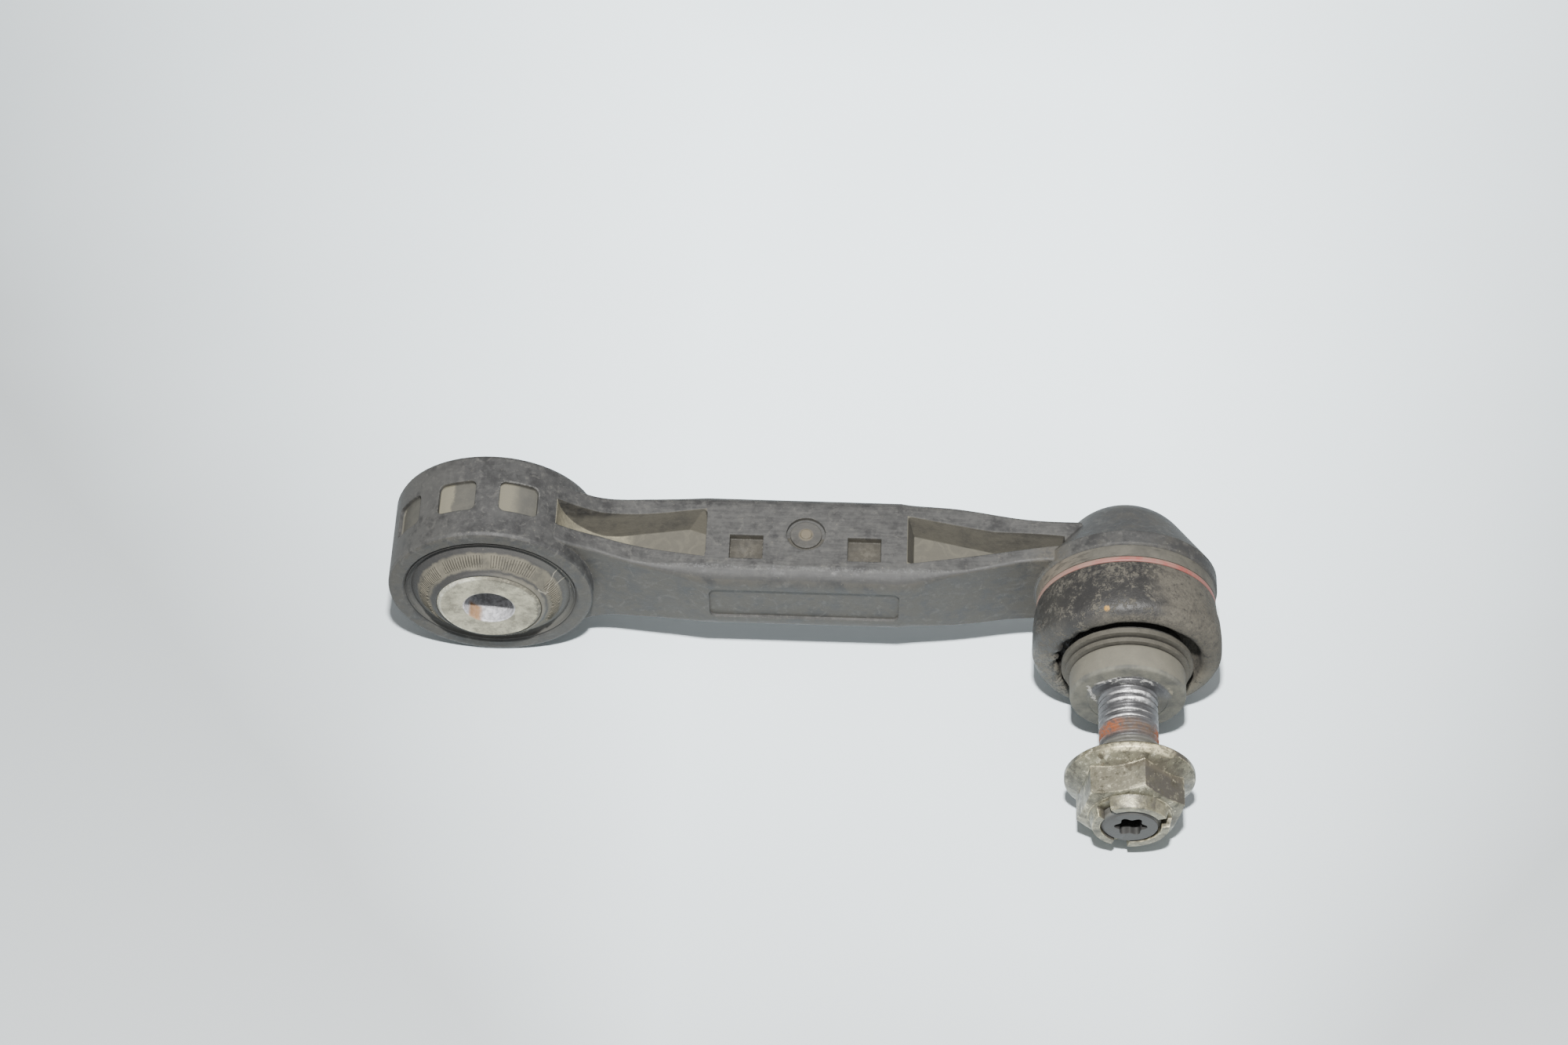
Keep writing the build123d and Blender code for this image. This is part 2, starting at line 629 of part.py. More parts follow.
def flange_nut():
    """Flange nut with a slotted crown."""
    hexagon = RegularPolygon(NUT_ACROSS_FLATS / 2, 6, major_radius=False, rotation=NUT_TURN)
    prism = extrude(Plane.XZ.offset(NUT_FACE) * hexagon, NUT_HEX_END)
    half_flats = NUT_ACROSS_FLATS / 2
    reach = NUT_ACROSS_FLATS / math.sqrt(3)
    hex_end = NUT_FACE + NUT_HEX_END
    chamfer_cone = turned([
        (0, -NUT_FACE), (reach + NUT_CHAMFER, -NUT_FACE), (reach + NUT_CHAMFER, -hex_end + NUT_CHAMFER),
        (half_flats - NUT_CHAMFER_INSET, -hex_end), (0, -hex_end),
    ])
    edge = NUT_FLANGE_CORNER
    flange = turned([
        (0, -NUT_FACE), (NUT_FLANGE_RADIUS - edge, -NUT_FACE),
        (NUT_FLANGE_RADIUS, -NUT_FACE - edge), (NUT_FLANGE_RADIUS, -NUT_FACE - NUT_FLANGE_EDGE),
        (NUT_FLANGE_RADIUS - edge, -NUT_FACE - NUT_FLANGE_EDGE - edge),
        (half_flats, -NUT_FACE - NUT_FLANGE_HEIGHT), (0, -NUT_FACE - NUT_FLANGE_HEIGHT),
    ])
    crown_end = NUT_FACE + NUT_HEIGHT
    crown = turned([
        (0, -hex_end), (CROWN_BASE_RADIUS, -hex_end), (CROWN_RADIUS, -crown_end), (0, -crown_end),
    ])
    slot = Pos(OVERSIZE / 2, 0, 0) * Box(OVERSIZE, CROWN_SLOT_DEPTH * 2, CROWN_SLOT_WIDTH)
    for i in range(CROWN_SLOTS):
        crown -= Pos(0, -crown_end, 0) * Rot(0, CROWN_TURN + 360 / CROWN_SLOTS * i, 0) * slot
    bore = disc(THREAD_RADIUS + THREAD_CLEARANCE, -NUT_FACE, -crown_end)
    return (prism & chamfer_cone) + flange + crown - bore


if __name__ == "__main__":
    os.makedirs("parts", exist_ok=True)
    pieces = {
        "link_body": link_body(),
        "bush_rubber": bush_rubber(),
        "bush_sleeve": bush_sleeve(),
        "ball_seat": at_ball(ball_seat()),
        "closing_ring": at_ball(closing_ring()),
        "boot_clamp_ring": at_ball(boot_clamp_ring()),
        "dust_boot": at_ball(dust_boot()),
        "boot_neck_ring": at_ball(boot_neck_ring()),
        "seal_ring": at_ball(seal_ring()),
        "ball_stud": at_ball(ball_stud()),
        "flange_nut": at_ball(flange_nut()),
    }
    for name, solid in pieces.items():
        export_step(solid, f"parts/{name}.step")
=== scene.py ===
import json
import math
import random
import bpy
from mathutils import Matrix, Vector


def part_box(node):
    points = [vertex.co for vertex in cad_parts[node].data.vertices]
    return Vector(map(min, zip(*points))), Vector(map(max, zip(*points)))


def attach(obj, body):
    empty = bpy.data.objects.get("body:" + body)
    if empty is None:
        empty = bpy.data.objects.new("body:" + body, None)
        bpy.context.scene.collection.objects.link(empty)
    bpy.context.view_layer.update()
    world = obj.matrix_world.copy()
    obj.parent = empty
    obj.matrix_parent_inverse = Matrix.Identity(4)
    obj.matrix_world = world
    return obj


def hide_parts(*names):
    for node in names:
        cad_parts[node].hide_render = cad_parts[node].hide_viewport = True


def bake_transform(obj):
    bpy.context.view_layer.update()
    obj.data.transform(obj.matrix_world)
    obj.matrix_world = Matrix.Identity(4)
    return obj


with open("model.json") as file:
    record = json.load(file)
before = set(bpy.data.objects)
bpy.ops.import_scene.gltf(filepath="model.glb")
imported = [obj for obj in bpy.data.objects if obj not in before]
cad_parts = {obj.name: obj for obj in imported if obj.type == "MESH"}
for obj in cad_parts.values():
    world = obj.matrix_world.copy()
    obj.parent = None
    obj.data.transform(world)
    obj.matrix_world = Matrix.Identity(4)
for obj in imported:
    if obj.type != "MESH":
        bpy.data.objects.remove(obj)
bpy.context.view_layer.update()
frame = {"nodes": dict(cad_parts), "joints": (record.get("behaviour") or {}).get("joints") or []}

from types import SimpleNamespace

import bmesh
import bpy
from mathutils import Matrix, Vector, noise

bl_info = {
    "name": "Stabilizer link looks",
    "version": (1, 0, 0),
    "blender": (4, 5, 0),
    "location": "3D View > Sidebar > Link",
    "description": "Dresses the packed stabilizer link: rubber, boot, thread, nut, finishes and stage",
    "category": "Object",
}

MM = 0.001
PER_METRE = 1000.0
JOINTS = {joint["name"]: joint for joint in frame["joints"]}
BALL = Vector(JOINTS["pin_tilt"]["pos_m"])
BUSH = Vector(JOINTS["bush_twist"]["pos_m"])

# The stage lights a surface LIGHT times as bright as its base colour, and the view transform darkens
# tones above SHOULDER.
LIGHT = 4.0
SHOULDER = 0.2
SHOULDER_GAIN = 3.7
SHOULDER_POWER = 1.8


def mm(*values):
    """Metres from millimetres."""
    scaled = tuple(value * MM for value in values)
    return scaled if len(scaled) > 1 else scaled[0]


def by_ball(x, y, z):
    """Point at millimetres from the ball's centre."""
    return Vector((BALL.x + x * MM, BALL.y + y * MM, BALL.z + z * MM))


def unit(value):
    """The value, held between 0 and 1."""
    return max(0.0, min(1.0, value))


def reflectance(tone):
    """Base colour that shows as a linear tone under this stage's light and view transform."""
    return tuple(value * math.exp(SHOULDER_GAIN * max(value - SHOULDER, 0.0) ** SHOULDER_POWER) / LIGHT
                 for value in tone)


# Shader maths

# Places of a colour Mix node's sockets: share, both colours and result
MIX_SHARE, MIX_LOW, MIX_HIGH, MIX_RESULT = 0, 6, 7, 2


def operator(name):
    """Method that adds a Math node of two inputs."""
    return lambda self, other: self.maths(name, other)


class Wire:
    """A shader socket. Sums and products on it add Math nodes."""

    def __init__(self, shade, socket):
        self.shade = shade
        self.socket = socket

    def maths(self, operation, *others, clamp=False):
        settings = {"operation": operation, "use_clamp": clamp}
        return self.shade.node("Math", settings, self, *others)["Value"]

    __add__ = __radd__ = operator("ADD")
    __sub__ = operator("SUBTRACT")
    __mul__ = __rmul__ = operator("MULTIPLY")
    __truediv__ = operator("DIVIDE")
    __pow__ = operator("POWER")
    larger = operator("MAXIMUM")

    def __rsub__(self, other):
        return self.shade.node("Math", {"operation": "SUBTRACT"}, other, self)["Value"]

    def __abs__(self):
        return self.maths("ABSOLUTE")

    def limited(self):
        """The value, held between 0 and 1."""
        return self.maths("ADD", 0.0, clamp=True)

    def ramp(self, low, high):
        """0 below low, 1 above high and smooth between. low may be above high, which turns it round."""
        settings = {"interpolation_type": "SMOOTHSTEP"}
        return self.shade.node("MapRange", settings, self, low, high, 0.0, 1.0)["Result"]

    def span(self, low, high):
        """The same for metres, between two millimetre values."""
        return self.ramp(mm(low), mm(high))

    def between(self, low, high, soft):
        """1 between two millimetre values, fading over soft outside them."""
        return self.span(low - soft, low) * self.span(high + soft, high)


class Made:
    """A shader node whose outputs are read by name."""

    def __init__(self, shade, node):
        self.shade = shade
        self.made = node

    def __getitem__(self, name):
        return Wire(self.shade, self.made.outputs[name])


class Shade:
    """One material, built from expressions."""

    def __init__(self, name):
        self.material = bpy.data.materials.new(name)
        self.material.use_nodes = True
        self.tree = self.material.node_tree
        self.tree.nodes.clear()
        coordinates = self.node("TexCoord", {})
        self.at = coordinates["Object"]
        self.normal = coordinates["Normal"]

    def node(self, kind, settings, *values, **named):
        """Adds a node: its type, its settings, then its sockets by order or by name."""
        made = self.tree.nodes.new("ShaderNode" + kind)
        for key, value in settings.items():
            setattr(made, key, value)
        for i, value in enumerate(values):
            self.fill(made.inputs[i], value)
        for key, value in named.items():
            self.fill(made.inputs[key.replace("_", " ")], value)
        return Made(self, made)

    def fill(self, socket, value):
        if isinstance(value, Wire):
            self.tree.links.new(value.socket, socket)
        elif hasattr(value, "__len__") and len(value) == 3 and len(socket.default_value) == 4:
            socket.default_value = (*value, 1.0)
        else:
            socket.default_value = value

    def vectors(self, operation, first, second):
        """A Vector Math node."""
        return self.node("VectorMath", {"operation": operation}, first, second)

    def noise(self, size, detail, rough, seed=0.0, stretch=None):
        """Soft noise from 0 to 1 whose lumps are about size metres across."""
        at = self.at
        if stretch:
            at = self.vectors("MULTIPLY", at, stretch)["Vector"]
        made = self.node("TexNoise", {"noise_dimensions": "4D"},
                         Vector=at, W=seed, Scale=1.0 / size, Detail=detail, Roughness=rough)
        return made["Fac"]

    def noises(self, *kinds):
        """Several noises from their sizes, details and roughnesses, with the seeds 0, 2, 4 and so on."""
        return [self.noise(*kind, 2.0 * i) for i, kind in enumerate(kinds)]

    def swirls(self, size, seed):
        """Curved flow lines from 0 to 1."""
        return ((self.noise(size, 2.0, 0.5, seed) * 60.0).maths("SINE") + 1.0) * 0.5

    def axes(self):
        made = self.node("SeparateXYZ", {}, self.at)
        return made["X"], made["Y"], made["Z"]

    def from_ball(self):
        """Millimetres to the right of the ball, in front of it and above it."""
        x, y, z = self.axes()
        return (x - BALL.x) * PER_METRE, (BALL.y - y) * PER_METRE, (z - BALL.z) * PER_METRE

    def round_about(self, centre):
        """Distance from the line along Y through a point."""
        x, _, z = self.axes()
        across = x - centre.x
        up = z - centre.z
        return (across * across + up * up) ** 0.5

    def mix(self, share, low, high):
        made = self.node("Mix", {"data_type": "RGBA"})
        self.fill(made.made.inputs[MIX_SHARE], share)
        for i, tone in ((MIX_LOW, low), (MIX_HIGH, high)):
            self.fill(made.made.inputs[i], tone if isinstance(tone, Wire) else reflectance(tone))
        return Wire(self, made.made.outputs[MIX_RESULT])

    def start(self, share, low, high):
        """Sets the first colour."""
        self.base = self.mix(share, low, high)

    def coat(self, share, tone):
        """Lays a colour over the ones before it, as far as share says."""
        self.base = self.mix(share, self.base, tone)

    def crevice(self, reach):
        """1 deep in corners and gaps, 0 in the open."""
        made = self.node("AmbientOcclusion", {"samples": 6}, Distance=reach)
        return 1.0 - made["AO"]

    def facing(self, direction):
        """How far the surface faces a direction of the piece, from -1 to 1."""
        return self.vectors("DOT_PRODUCT", self.normal, direction)["Value"]

    def near(self, point, inner, outer):
        """1 within inner millimetres of a point, 0 past outer."""
        return self.vectors("DISTANCE", self.at, point)["Value"].span(outer, inner)

    def line(self, start, end, width, centre=BUSH, jitter=0.35):
        """1 on a line between two (x, z) places about a centre, in millimetres, on faces seen along Y."""
        x, _, z = self.axes()
        shake = (self.noise(0.0016, 2.0, 0.6, 21.0) - 0.5) * jitter * 2.0
        across = (x - centre.x) * PER_METRE - start[0] + shake
        up = (z - centre.z) * PER_METRE - start[1] + shake
        run = (end[0] - start[0], end[1] - start[1])
        share = ((across * run[0] + up * run[1]) / (run[0] ** 2 + run[1] ** 2)).limited()
        across = across - share * run[0]
        up = up - share * run[1]
        return ((across * across + up * up) ** 0.5).ramp(width, width * 0.4)

    def lines(self, marks, width, centre=BUSH, jitter=0.35):
        """1 on any of several such lines."""
        total = 0.0
        for start, end in marks:
            total = self.line(start, end, width, centre, jitter) + total
        return total

    def softened(self, radius):
        """Normal with sharp edges rounded."""
        return self.node("Bevel", {"samples": 4}, Radius=radius)["Normal"]

    def edge(self, width):
        """1 on sharp edges, 0 on flat places."""
        soft = self.softened(width)
        sharp = self.node("NewGeometry", {})["True Normal"]
        alike = self.vectors("DOT_PRODUCT", soft, sharp)["Value"]
        return (1.0 - alike).ramp(0.01, 0.12)

    def finish(self, roughness, height, depth, bevel=None, metallic=0.0, **constant):
        """Ends the material on one shader.

        height is bump height from 0 to 1, and depth is what 1 stands for in metres.
        """
        shader = self.tree.nodes.new("ShaderNodeBsdfPrincipled")
        output = self.tree.nodes.new("ShaderNodeOutputMaterial")
        self.fill(shader.inputs["Base Color"], self.base)
        self.fill(shader.inputs["Roughness"], roughness)
        self.fill(shader.inputs["Metallic"], metallic)
        for key, value in constant.items():
            self.fill(shader.inputs[key.replace("_", " ")], value)
        bump = self.node("Bump", {}, Strength=1.0, Distance=depth, Height=height)
        if bevel:
            self.fill(bump.made.inputs["Normal"], self.softened(bevel))
        self.fill(shader.inputs["Normal"], bump["Normal"])
        self.tree.links.new(shader.outputs["BSDF"], output.inputs["Surface"])
        return self.material


# Mesh helpers

def spot(centre, radius, along, angle):
    """Point at a radius and an angle about the Y line through centre, with lengths in millimetres."""
    return (centre.x + radius * MM * math.sin(angle), centre.y + along * MM,
            centre.z + radius * MM * math.cos(angle))


def turn(name, outline, centre, steps, shape):
    """Solid turned about the Y line through centre, from a closed outline of (radius, y) in millimetres.

    shape moves a point of the outline, from its radius, y and angle.
    """
    bm = bmesh.new()
    rings = []
    for i in range(steps):
        angle = 2 * math.pi * i / steps
        rings.append([bm.verts.new(spot(centre, *shape(radius, y, angle), angle)) for radius, y in outline])
    count = len(outline)
    for i, here in enumerate(rings):
        following = rings[(i + 1) % steps]
        for k in range(count):
            nxt = (k + 1) % count
            bm.faces.new((here[k], following[k], following[nxt], here[nxt]))
    return finished(name, bm)


def finished(name, bm):
    """Object made from a bmesh, with outward normals and smooth faces."""
    bmesh.ops.recalc_face_normals(bm, faces=bm.faces)
    mesh = bpy.data.meshes.new(name)
    bm.to_mesh(mesh)
    bm.free()
    mesh.shade_smooth()
    made = bpy.data.objects.new(name, mesh)
    bpy.context.scene.collection.objects.link(made)
    return made


def sharpen(piece, degrees=40.0):
    """Marks edges sharper than an angle, so that smooth shading stops there."""
    piece.data.set_sharp_from_angle(angle=math.radians(degrees))


def place(piece, material, body, slot, *nodes):
    """Gives a piece its finish, its body and the nodes it stands for. slot is not used."""
    piece.data.materials.clear()
    piece.data.materials.append(material)
    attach(piece, body)
    if nodes:
        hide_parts(*nodes)


def paint(node, material):
    """Gives a CAD node its finish."""
    mesh = frame["nodes"][node].data
    mesh.materials.clear()
    mesh.materials.append(material)
    for polygon in mesh.polygons:
        polygon.material_index = 0


def worn_copy(node, name, radius, flat=1.5, hard=24.0):
    """Copy of a CAD node with worn edges. flat and hard are the angles of no edge and of a worn one."""
    bm = bmesh.new()
    bm.from_mesh(frame["nodes"][node].data)
    bmesh.ops.remove_doubles(bm, verts=bm.verts, dist=0.002 * MM)
    bmesh.ops.dissolve_limit(bm, angle_limit=math.radians(flat), verts=bm.verts, edges=bm.edges)
    edges = [edge for edge in bm.edges if edge.calc_face_angle(0.0) > math.radians(hard)]
    bmesh.ops.bevel(bm, geom=edges, offset=radius, segments=3, profile=0.5, affect="EDGES",
                    clamp_overlap=True)
    bmesh.ops.triangulate(bm, faces=bm.faces)
    made = finished(name, bm)
    made.matrix_world = frame["nodes"][node].matrix_world
    sharpen(made)
    return made


# Sizes and colours

def colour(label, description, default):
    return bpy.props.FloatVectorProperty(name=label, description=description, subtype="COLOR", size=3,
                                         min=0.0, max=1.0, default=default)


def length(label, description, default):
    return bpy.props.FloatProperty(name=label, description=description, unit="LENGTH", default=default)


class LinkColours(bpy.types.PropertyGroup):
    """Colours of the link's finishes."""
    nylon: colour("Nylon", "Clean black moulding", (0.078, 0.079, 0.081))
    nylon_dull: colour("Dull nylon", "Film of dust on the moulding", (0.168, 0.168, 0.165))
    dust_pale: colour("Pale dust", "Thick pale dust", (0.40, 0.38, 0.31))
    rubber: colour("Rubber", "Dark rubber", (0.056, 0.055, 0.056))
    red: colour("Red ring", "Faded red clamp ring", (0.47, 0.165, 0.140))
    rust: colour("Rust", "Fresh orange rust", (0.47, 0.175, 0.040))
    rust_dark: colour("Old rust", "Dark brown rust", (0.185, 0.105, 0.065))
    floor: colour("Floor", "Table top", (0.753, 0.771, 0.781))


class LinkSizes(bpy.types.PropertyGroup):
    """Sizes of the pieces that are built here."""
    thread_radius: length("Thread radius", "Outer radius of the stud's thread", 5.98 * MM)
    thread_pitch: length("Thread pitch", "Distance from crest to crest", 1.5 * MM)
    thread_depth: length("Thread depth", "Height of the worn thread", 0.62 * MM)
    rib_count: bpy.props.IntProperty(
        name="Ribs", description="Moulded ribs round the bush's face", default=150)
    rib_height: length("Rib height", "Height of a moulded rib", 0.34 * MM)
    boot_lumps: length("Boot lumps", "How far the boot's wall is out of round", 0.35 * MM)


def colours():
    return bpy.context.scene.link_colours


def sizes():
    return bpy.context.scene.link_sizes


# Finishes

# Places on the link in millimetres from the bush's middle, as part.py has them
POCKET_BY_EYE = (13.75, 43.85)
POCKET_BY_BALL = (85.1, 116.8)
POCKET_EDGE = 0.08
GATE = Vector(mm(64.4, 0.7, 9.5))


def pocket_marks(x, y):
    """1 over the footprint of the rod's two pockets and 1 over the ramp beside the eye."""
    past_eye = (x - mm(22.5)).larger(0)
    half = past_eye * 0.141 + mm(2.88)
    eye = (abs(y - past_eye * 0.0188) - half).span(POCKET_EDGE, 0)
    eye = eye * x.between(*POCKET_BY_EYE, POCKET_EDGE)
    wide = mm(5.88) - (x - mm(85.2)) * 0.217
    slim = mm(2.08) - (x - mm(102.7)) * 0.071
    ball = (abs(y) - wide.larger(slim)).span(POCKET_EDGE, 0)
    ball = ball * x.between(*POCKET_BY_BALL, POCKET_EDGE)
    return (eye + ball).limited(), eye * x.span(29.5, 26.5)


def nylon_finish():
    """Moulding: dull black, brushed and mottled, with dust in its pockets and windows, and painted light and
    shade on some faces, edges and hollows.
    """
    shade = Shade("nylon")
    x, y, _ = shade.axes()
    pockets, ramp = pocket_marks(x, y)
    n = SimpleNamespace(
        blotch=shade.noise(0.01, 4, 0.62),
        patch=shade.noise(0.003, 4, 0.68, 1),
        fine=shade.noise(0.0011, 4, 0.7, 3),
        grit=shade.noise(0.00042, 2, 0.6, 7),
        brushed=shade.noise(0.0006, 3, 0.65, 5, (0.1, 1, 1)),
        upward=shade.facing((0, 0, 1)),
        forward=shade.facing((0, -1, 0)),
        crevice=shade.crevice(0.003),
        open=1 - pockets,
    )
    dark = nylon_skin(shade, n)
    nylon_pockets(shade, n, pockets, ramp)
    window = nylon_windows(shade, n)
    nylon_recesses(shade, n)
    nylon_edges(shade, n)
    dusty = (pockets * 0.7 + window).limited()
    rough = 0.56 + n.patch * 0.2 + dusty * 0.3 - dark * 0.1
    height = n.fine * 0.45 + n.grit * 0.3 + n.brushed * 0.25
    return shade.finish(rough.limited(), height, 0.0001, bevel=0.0004, Specular_IOR_Level=0.35)


def nylon_skin(shade, n):
    """Film of dust, brushing and mottling on the open faces, and painted light on faces turned to the left.
    Returns where it is darkest.
    """
    x, _, _ = shade.axes()
    film = n.blotch.ramp(0.36, 0.64) * 0.34 + n.patch.ramp(0.38, 0.62) * 0.34 + n.fine.ramp(0.42, 0.6) * 0.34
    rod = x.between(30, 112, 12)
    film = film + rod * n.upward.ramp(0.3, 0.9) * (n.brushed.ramp(0.38, 0.66) * 0.55 - 0.05) + rod * 0.14
    shade.start((film - 0.12).limited(), colours().nylon, colours().nylon_dull)
    # Faces turned to the front are made paler tan.
    face = n.forward.ramp(0.5, 0.95) * (0.4 + n.patch.ramp(0.38, 0.62) * 0.45)
    shade.coat(face.limited(), (0.152, 0.142, 0.12))
    dome = x.span(118, 123)
    shade.coat(dome * n.patch.ramp(0.55, 0.42) * 0.45, (0.08, 0.08, 0.081))
    # Painted light: faces turned to the left are made paler, standing in for light that falls short there.
    side = shade.facing((-1, 0, 0.1)).ramp(0.2, 0.9) * (1 - dome)
    shade.coat(side * 0.7, (0.215, 0.214, 0.205))
    shade.coat(dome * n.blotch.ramp(0.46, 0.6) * n.patch.ramp(0.4, 0.6) * 0.5, (0.135, 0.122, 0.098))
    # Darker towards the right end of the dome.
    shade.coat(x.span(133, 143) * 0.45, (0.066, 0.067, 0.071))
    dark = n.patch.ramp(0.52, 0.36) * n.blotch.ramp(0.58, 0.42) * n.open
    shade.coat(dark * 0.75, (0.062, 0.062, 0.064))
    light = n.fine.ramp(0.56, 0.7) * n.patch.ramp(0.42, 0.6) * n.open
    shade.coat(light * 0.7, (0.235, 0.23, 0.21))
    streak = shade.swirls(0.012, 19).ramp(0.9, 0.99) * n.fine.ramp(0.44, 0.6) * n.open
    shade.coat(streak * 0.4, (0.24, 0.237, 0.225))
    return dark


def nylon_pockets(shade, n, pockets, ramp):
    """Dust on the pockets' walls and floors, a pale coat of dust and painted light on the ramp beside the
    eye, and painted shade deep in the pockets.
    """
    walls = shade.mix(n.fine, (0.245, 0.235, 0.2), (0.325, 0.31, 0.262))
    shade.coat(pockets * (0.45 + n.patch.ramp(0.3, 0.6) * 0.5), walls)
    flow = shade.swirls(0.009, 15).ramp(0.6, 0.98)
    settled = shade.mix(flow * 0.28 * n.patch.ramp(0.35, 0.6) + n.fine * 0.6,
                        (0.195, 0.185, 0.155), (0.33, 0.315, 0.26))
    floor = pockets * n.upward.ramp(0.5, 0.95) * (0.7 + n.blotch.ramp(0.35, 0.6) * 0.3)
    shade.coat(floor, settled)
    # Dust and painted light: the ramp beside the eye is painted pale where light falls on it.
    lit = shade.mix(n.fine.ramp(0.3, 0.7), (0.32, 0.305, 0.245), (0.46, 0.44, 0.36))
    shade.coat(ramp * n.upward.ramp(0.02, 0.15), lit)
    gusset = pockets * shade.facing((-0.3, -0.8, 0.5)).ramp(0.86, 0.97) * 0.8
    shade.coat(gusset.limited(), (0.27, 0.255, 0.205))
    # Painted shade deep in the pockets' corners.
    shade.coat(pockets * n.crevice.ramp(0.62, 0.95) * 0.25, (0.075, 0.07, 0.058))


def nylon_windows(shade, n):
    """Panes behind the eye's windows, with painted shade in their corners and painted highlights on their
    rims. Returns where the panes are.
    """
    x, y, _ = shade.axes()
    radius = shade.round_about(BUSH)
    window = radius.span(20.35, 20.15) * radius.span(17.7, 17.9) * x.span(13.5, 13.2)
    window = window * abs(y).span(3.75, 3.6)
    pane = shade.mix(n.patch.ramp(0.35, 0.65) * 0.6 + n.fine * 0.3,
                     (0.165, 0.163, 0.148), (0.245, 0.238, 0.205))
    drift = x + (n.patch - 0.5) * mm(4)
    bright = (drift.between(-9.8, -7.6, 1) + drift.between(2.4, 4.6, 2.4) * 0.8
              + drift.between(-22, -18.5, 1.5) * 0.3)
    # Painted shade in the panes' corners.
    pane = shade.mix(n.crevice.ramp(0.35, 0.75) * 0.5, pane, (0.115, 0.11, 0.092))
    pane = shade.mix(bright.limited(), pane, (0.375, 0.36, 0.295))
    shade.coat(window, pane)
    # Painted highlight on the windows' top and right rims.
    rim = radius.span(20.2, 20.5) * y.between(1.6, 4.4, 0.4) * x.between(-10.6, 11, 0.6)
    rim = rim * shade.edge(0.0007)
    shade.coat((rim * n.grit.ramp(0.4, 0.6) * x.span(-1, 3)).limited(), (0.38, 0.38, 0.37))
    return window


def nylon_recesses(shade, n):
    """Dirt in the two square recesses, on the gate between them and beside the ball housing, and painted
    shade in the recesses' corners.
    """
    x, y, z = shade.axes()
    recess = x.between(48, 80, 0.5) * y.between(-6.4, -0.02, 0.2) * z.between(6, 8.9, 0.3)
    dirt = shade.mix(n.fine.ramp(0.4, 0.58), (0.135, 0.122, 0.095), (0.215, 0.197, 0.158))
    shade.coat(recess * (0.45 + n.patch.ramp(0.3, 0.6) * 0.5), dirt)
    # Painted shade in the recesses' corners.
    shade.coat(recess * n.crevice.ramp(0.12, 0.4) * 0.7, (0.085, 0.078, 0.062))
    boss = shade.near(GATE, 3.3, 3.7)
    shade.coat(boss * (0.35 + n.fine.ramp(0.4, 0.6) * 0.3), (0.165, 0.158, 0.142))
    shade.coat(shade.near(GATE, 1.2, 1.8) * n.patch.ramp(0.3, 0.5), (0.3, 0.265, 0.195))
    above = shade.near(Vector(mm(115.5, -4.5, 8.5)), 2, 7.5) * n.fine.ramp(0.32, 0.62)
    shade.coat(above * 0.75, (0.215, 0.195, 0.155))
    below = shade.near(Vector(mm(119, -4, -2)), 3, 9) * n.patch.ramp(0.35, 0.6)
    shade.coat(below * 0.6, (0.24, 0.222, 0.18))


def nylon_edges(shade, n):
    """Painted highlight along the rod's top front edge, a darker band on its rounded front corner, scuffed
    edges and pale specks.
    """
    x, _, _ = shade.axes()
    chamfer = x.between(30, 104, 8) * n.open
    # Darker band on the rod's rounded front corner.
    shade.coat(chamfer * shade.facing((0, -0.64, 0.77)).ramp(0.93, 0.985) * 0.5, (0.088, 0.09, 0.094))
    # Painted highlight along the rod's top front edge.
    ridge_highlight = shade.facing((0, -0.22, 0.975)).ramp(0.985, 0.998) * x.between(30, 112, 6)
    ridge_highlight = ridge_highlight * n.forward.ramp(0.06, 0.12) * n.open
    speckle = n.grit.ramp(0.48, 0.6) * 0.6 + n.brushed.ramp(0.54, 0.68) * 0.3
    shade.coat((ridge_highlight * speckle * 0.8).limited(), (0.28, 0.285, 0.29))
    scuff = shade.edge(0.0005) * n.grit.ramp(0.5, 0.66) * 0.6 * n.open
    shade.coat(scuff.limited(), (0.3, 0.295, 0.27))
    speck = n.grit.ramp(0.66, 0.72) * n.fine.ramp(0.42, 0.6) * n.open
    shade.coat(speck * 0.45, colours().dust_pale)


def dusty_finish(name, clean, dust, amount, roughness):
    """Plastic or metal with dry dust on it and painted shade in its crevices. amount is how much of it the
    dust covers.
    """
    shade = Shade(name)
    blotch, fine, grit = shade.noises((0.006, 4, 0.6), (0.0012, 5, 0.7), (0.0005, 2, 0.6))
    cover = (blotch.ramp(0.25, 0.75) * 0.5 + fine.ramp(0.3, 0.7) * 0.5 + (amount * 2 - 1)).limited()
    shade.start(cover, clean, dust)
    shade.coat(grit.ramp(0.6, 0.75) * 0.25, colours().dust_pale)
    # Painted shade in crevices.
    painted_crevice_shade = shade.crevice(0.0012).ramp(0.45, 0.9)
    shade.coat(painted_crevice_shade * 0.75, (0.035, 0.033, 0.028))
    height = fine * 0.6 + grit * 0.4
    return shade.finish((roughness + cover * 0.2).limited(), height, 0.00008, bevel=0.0002)


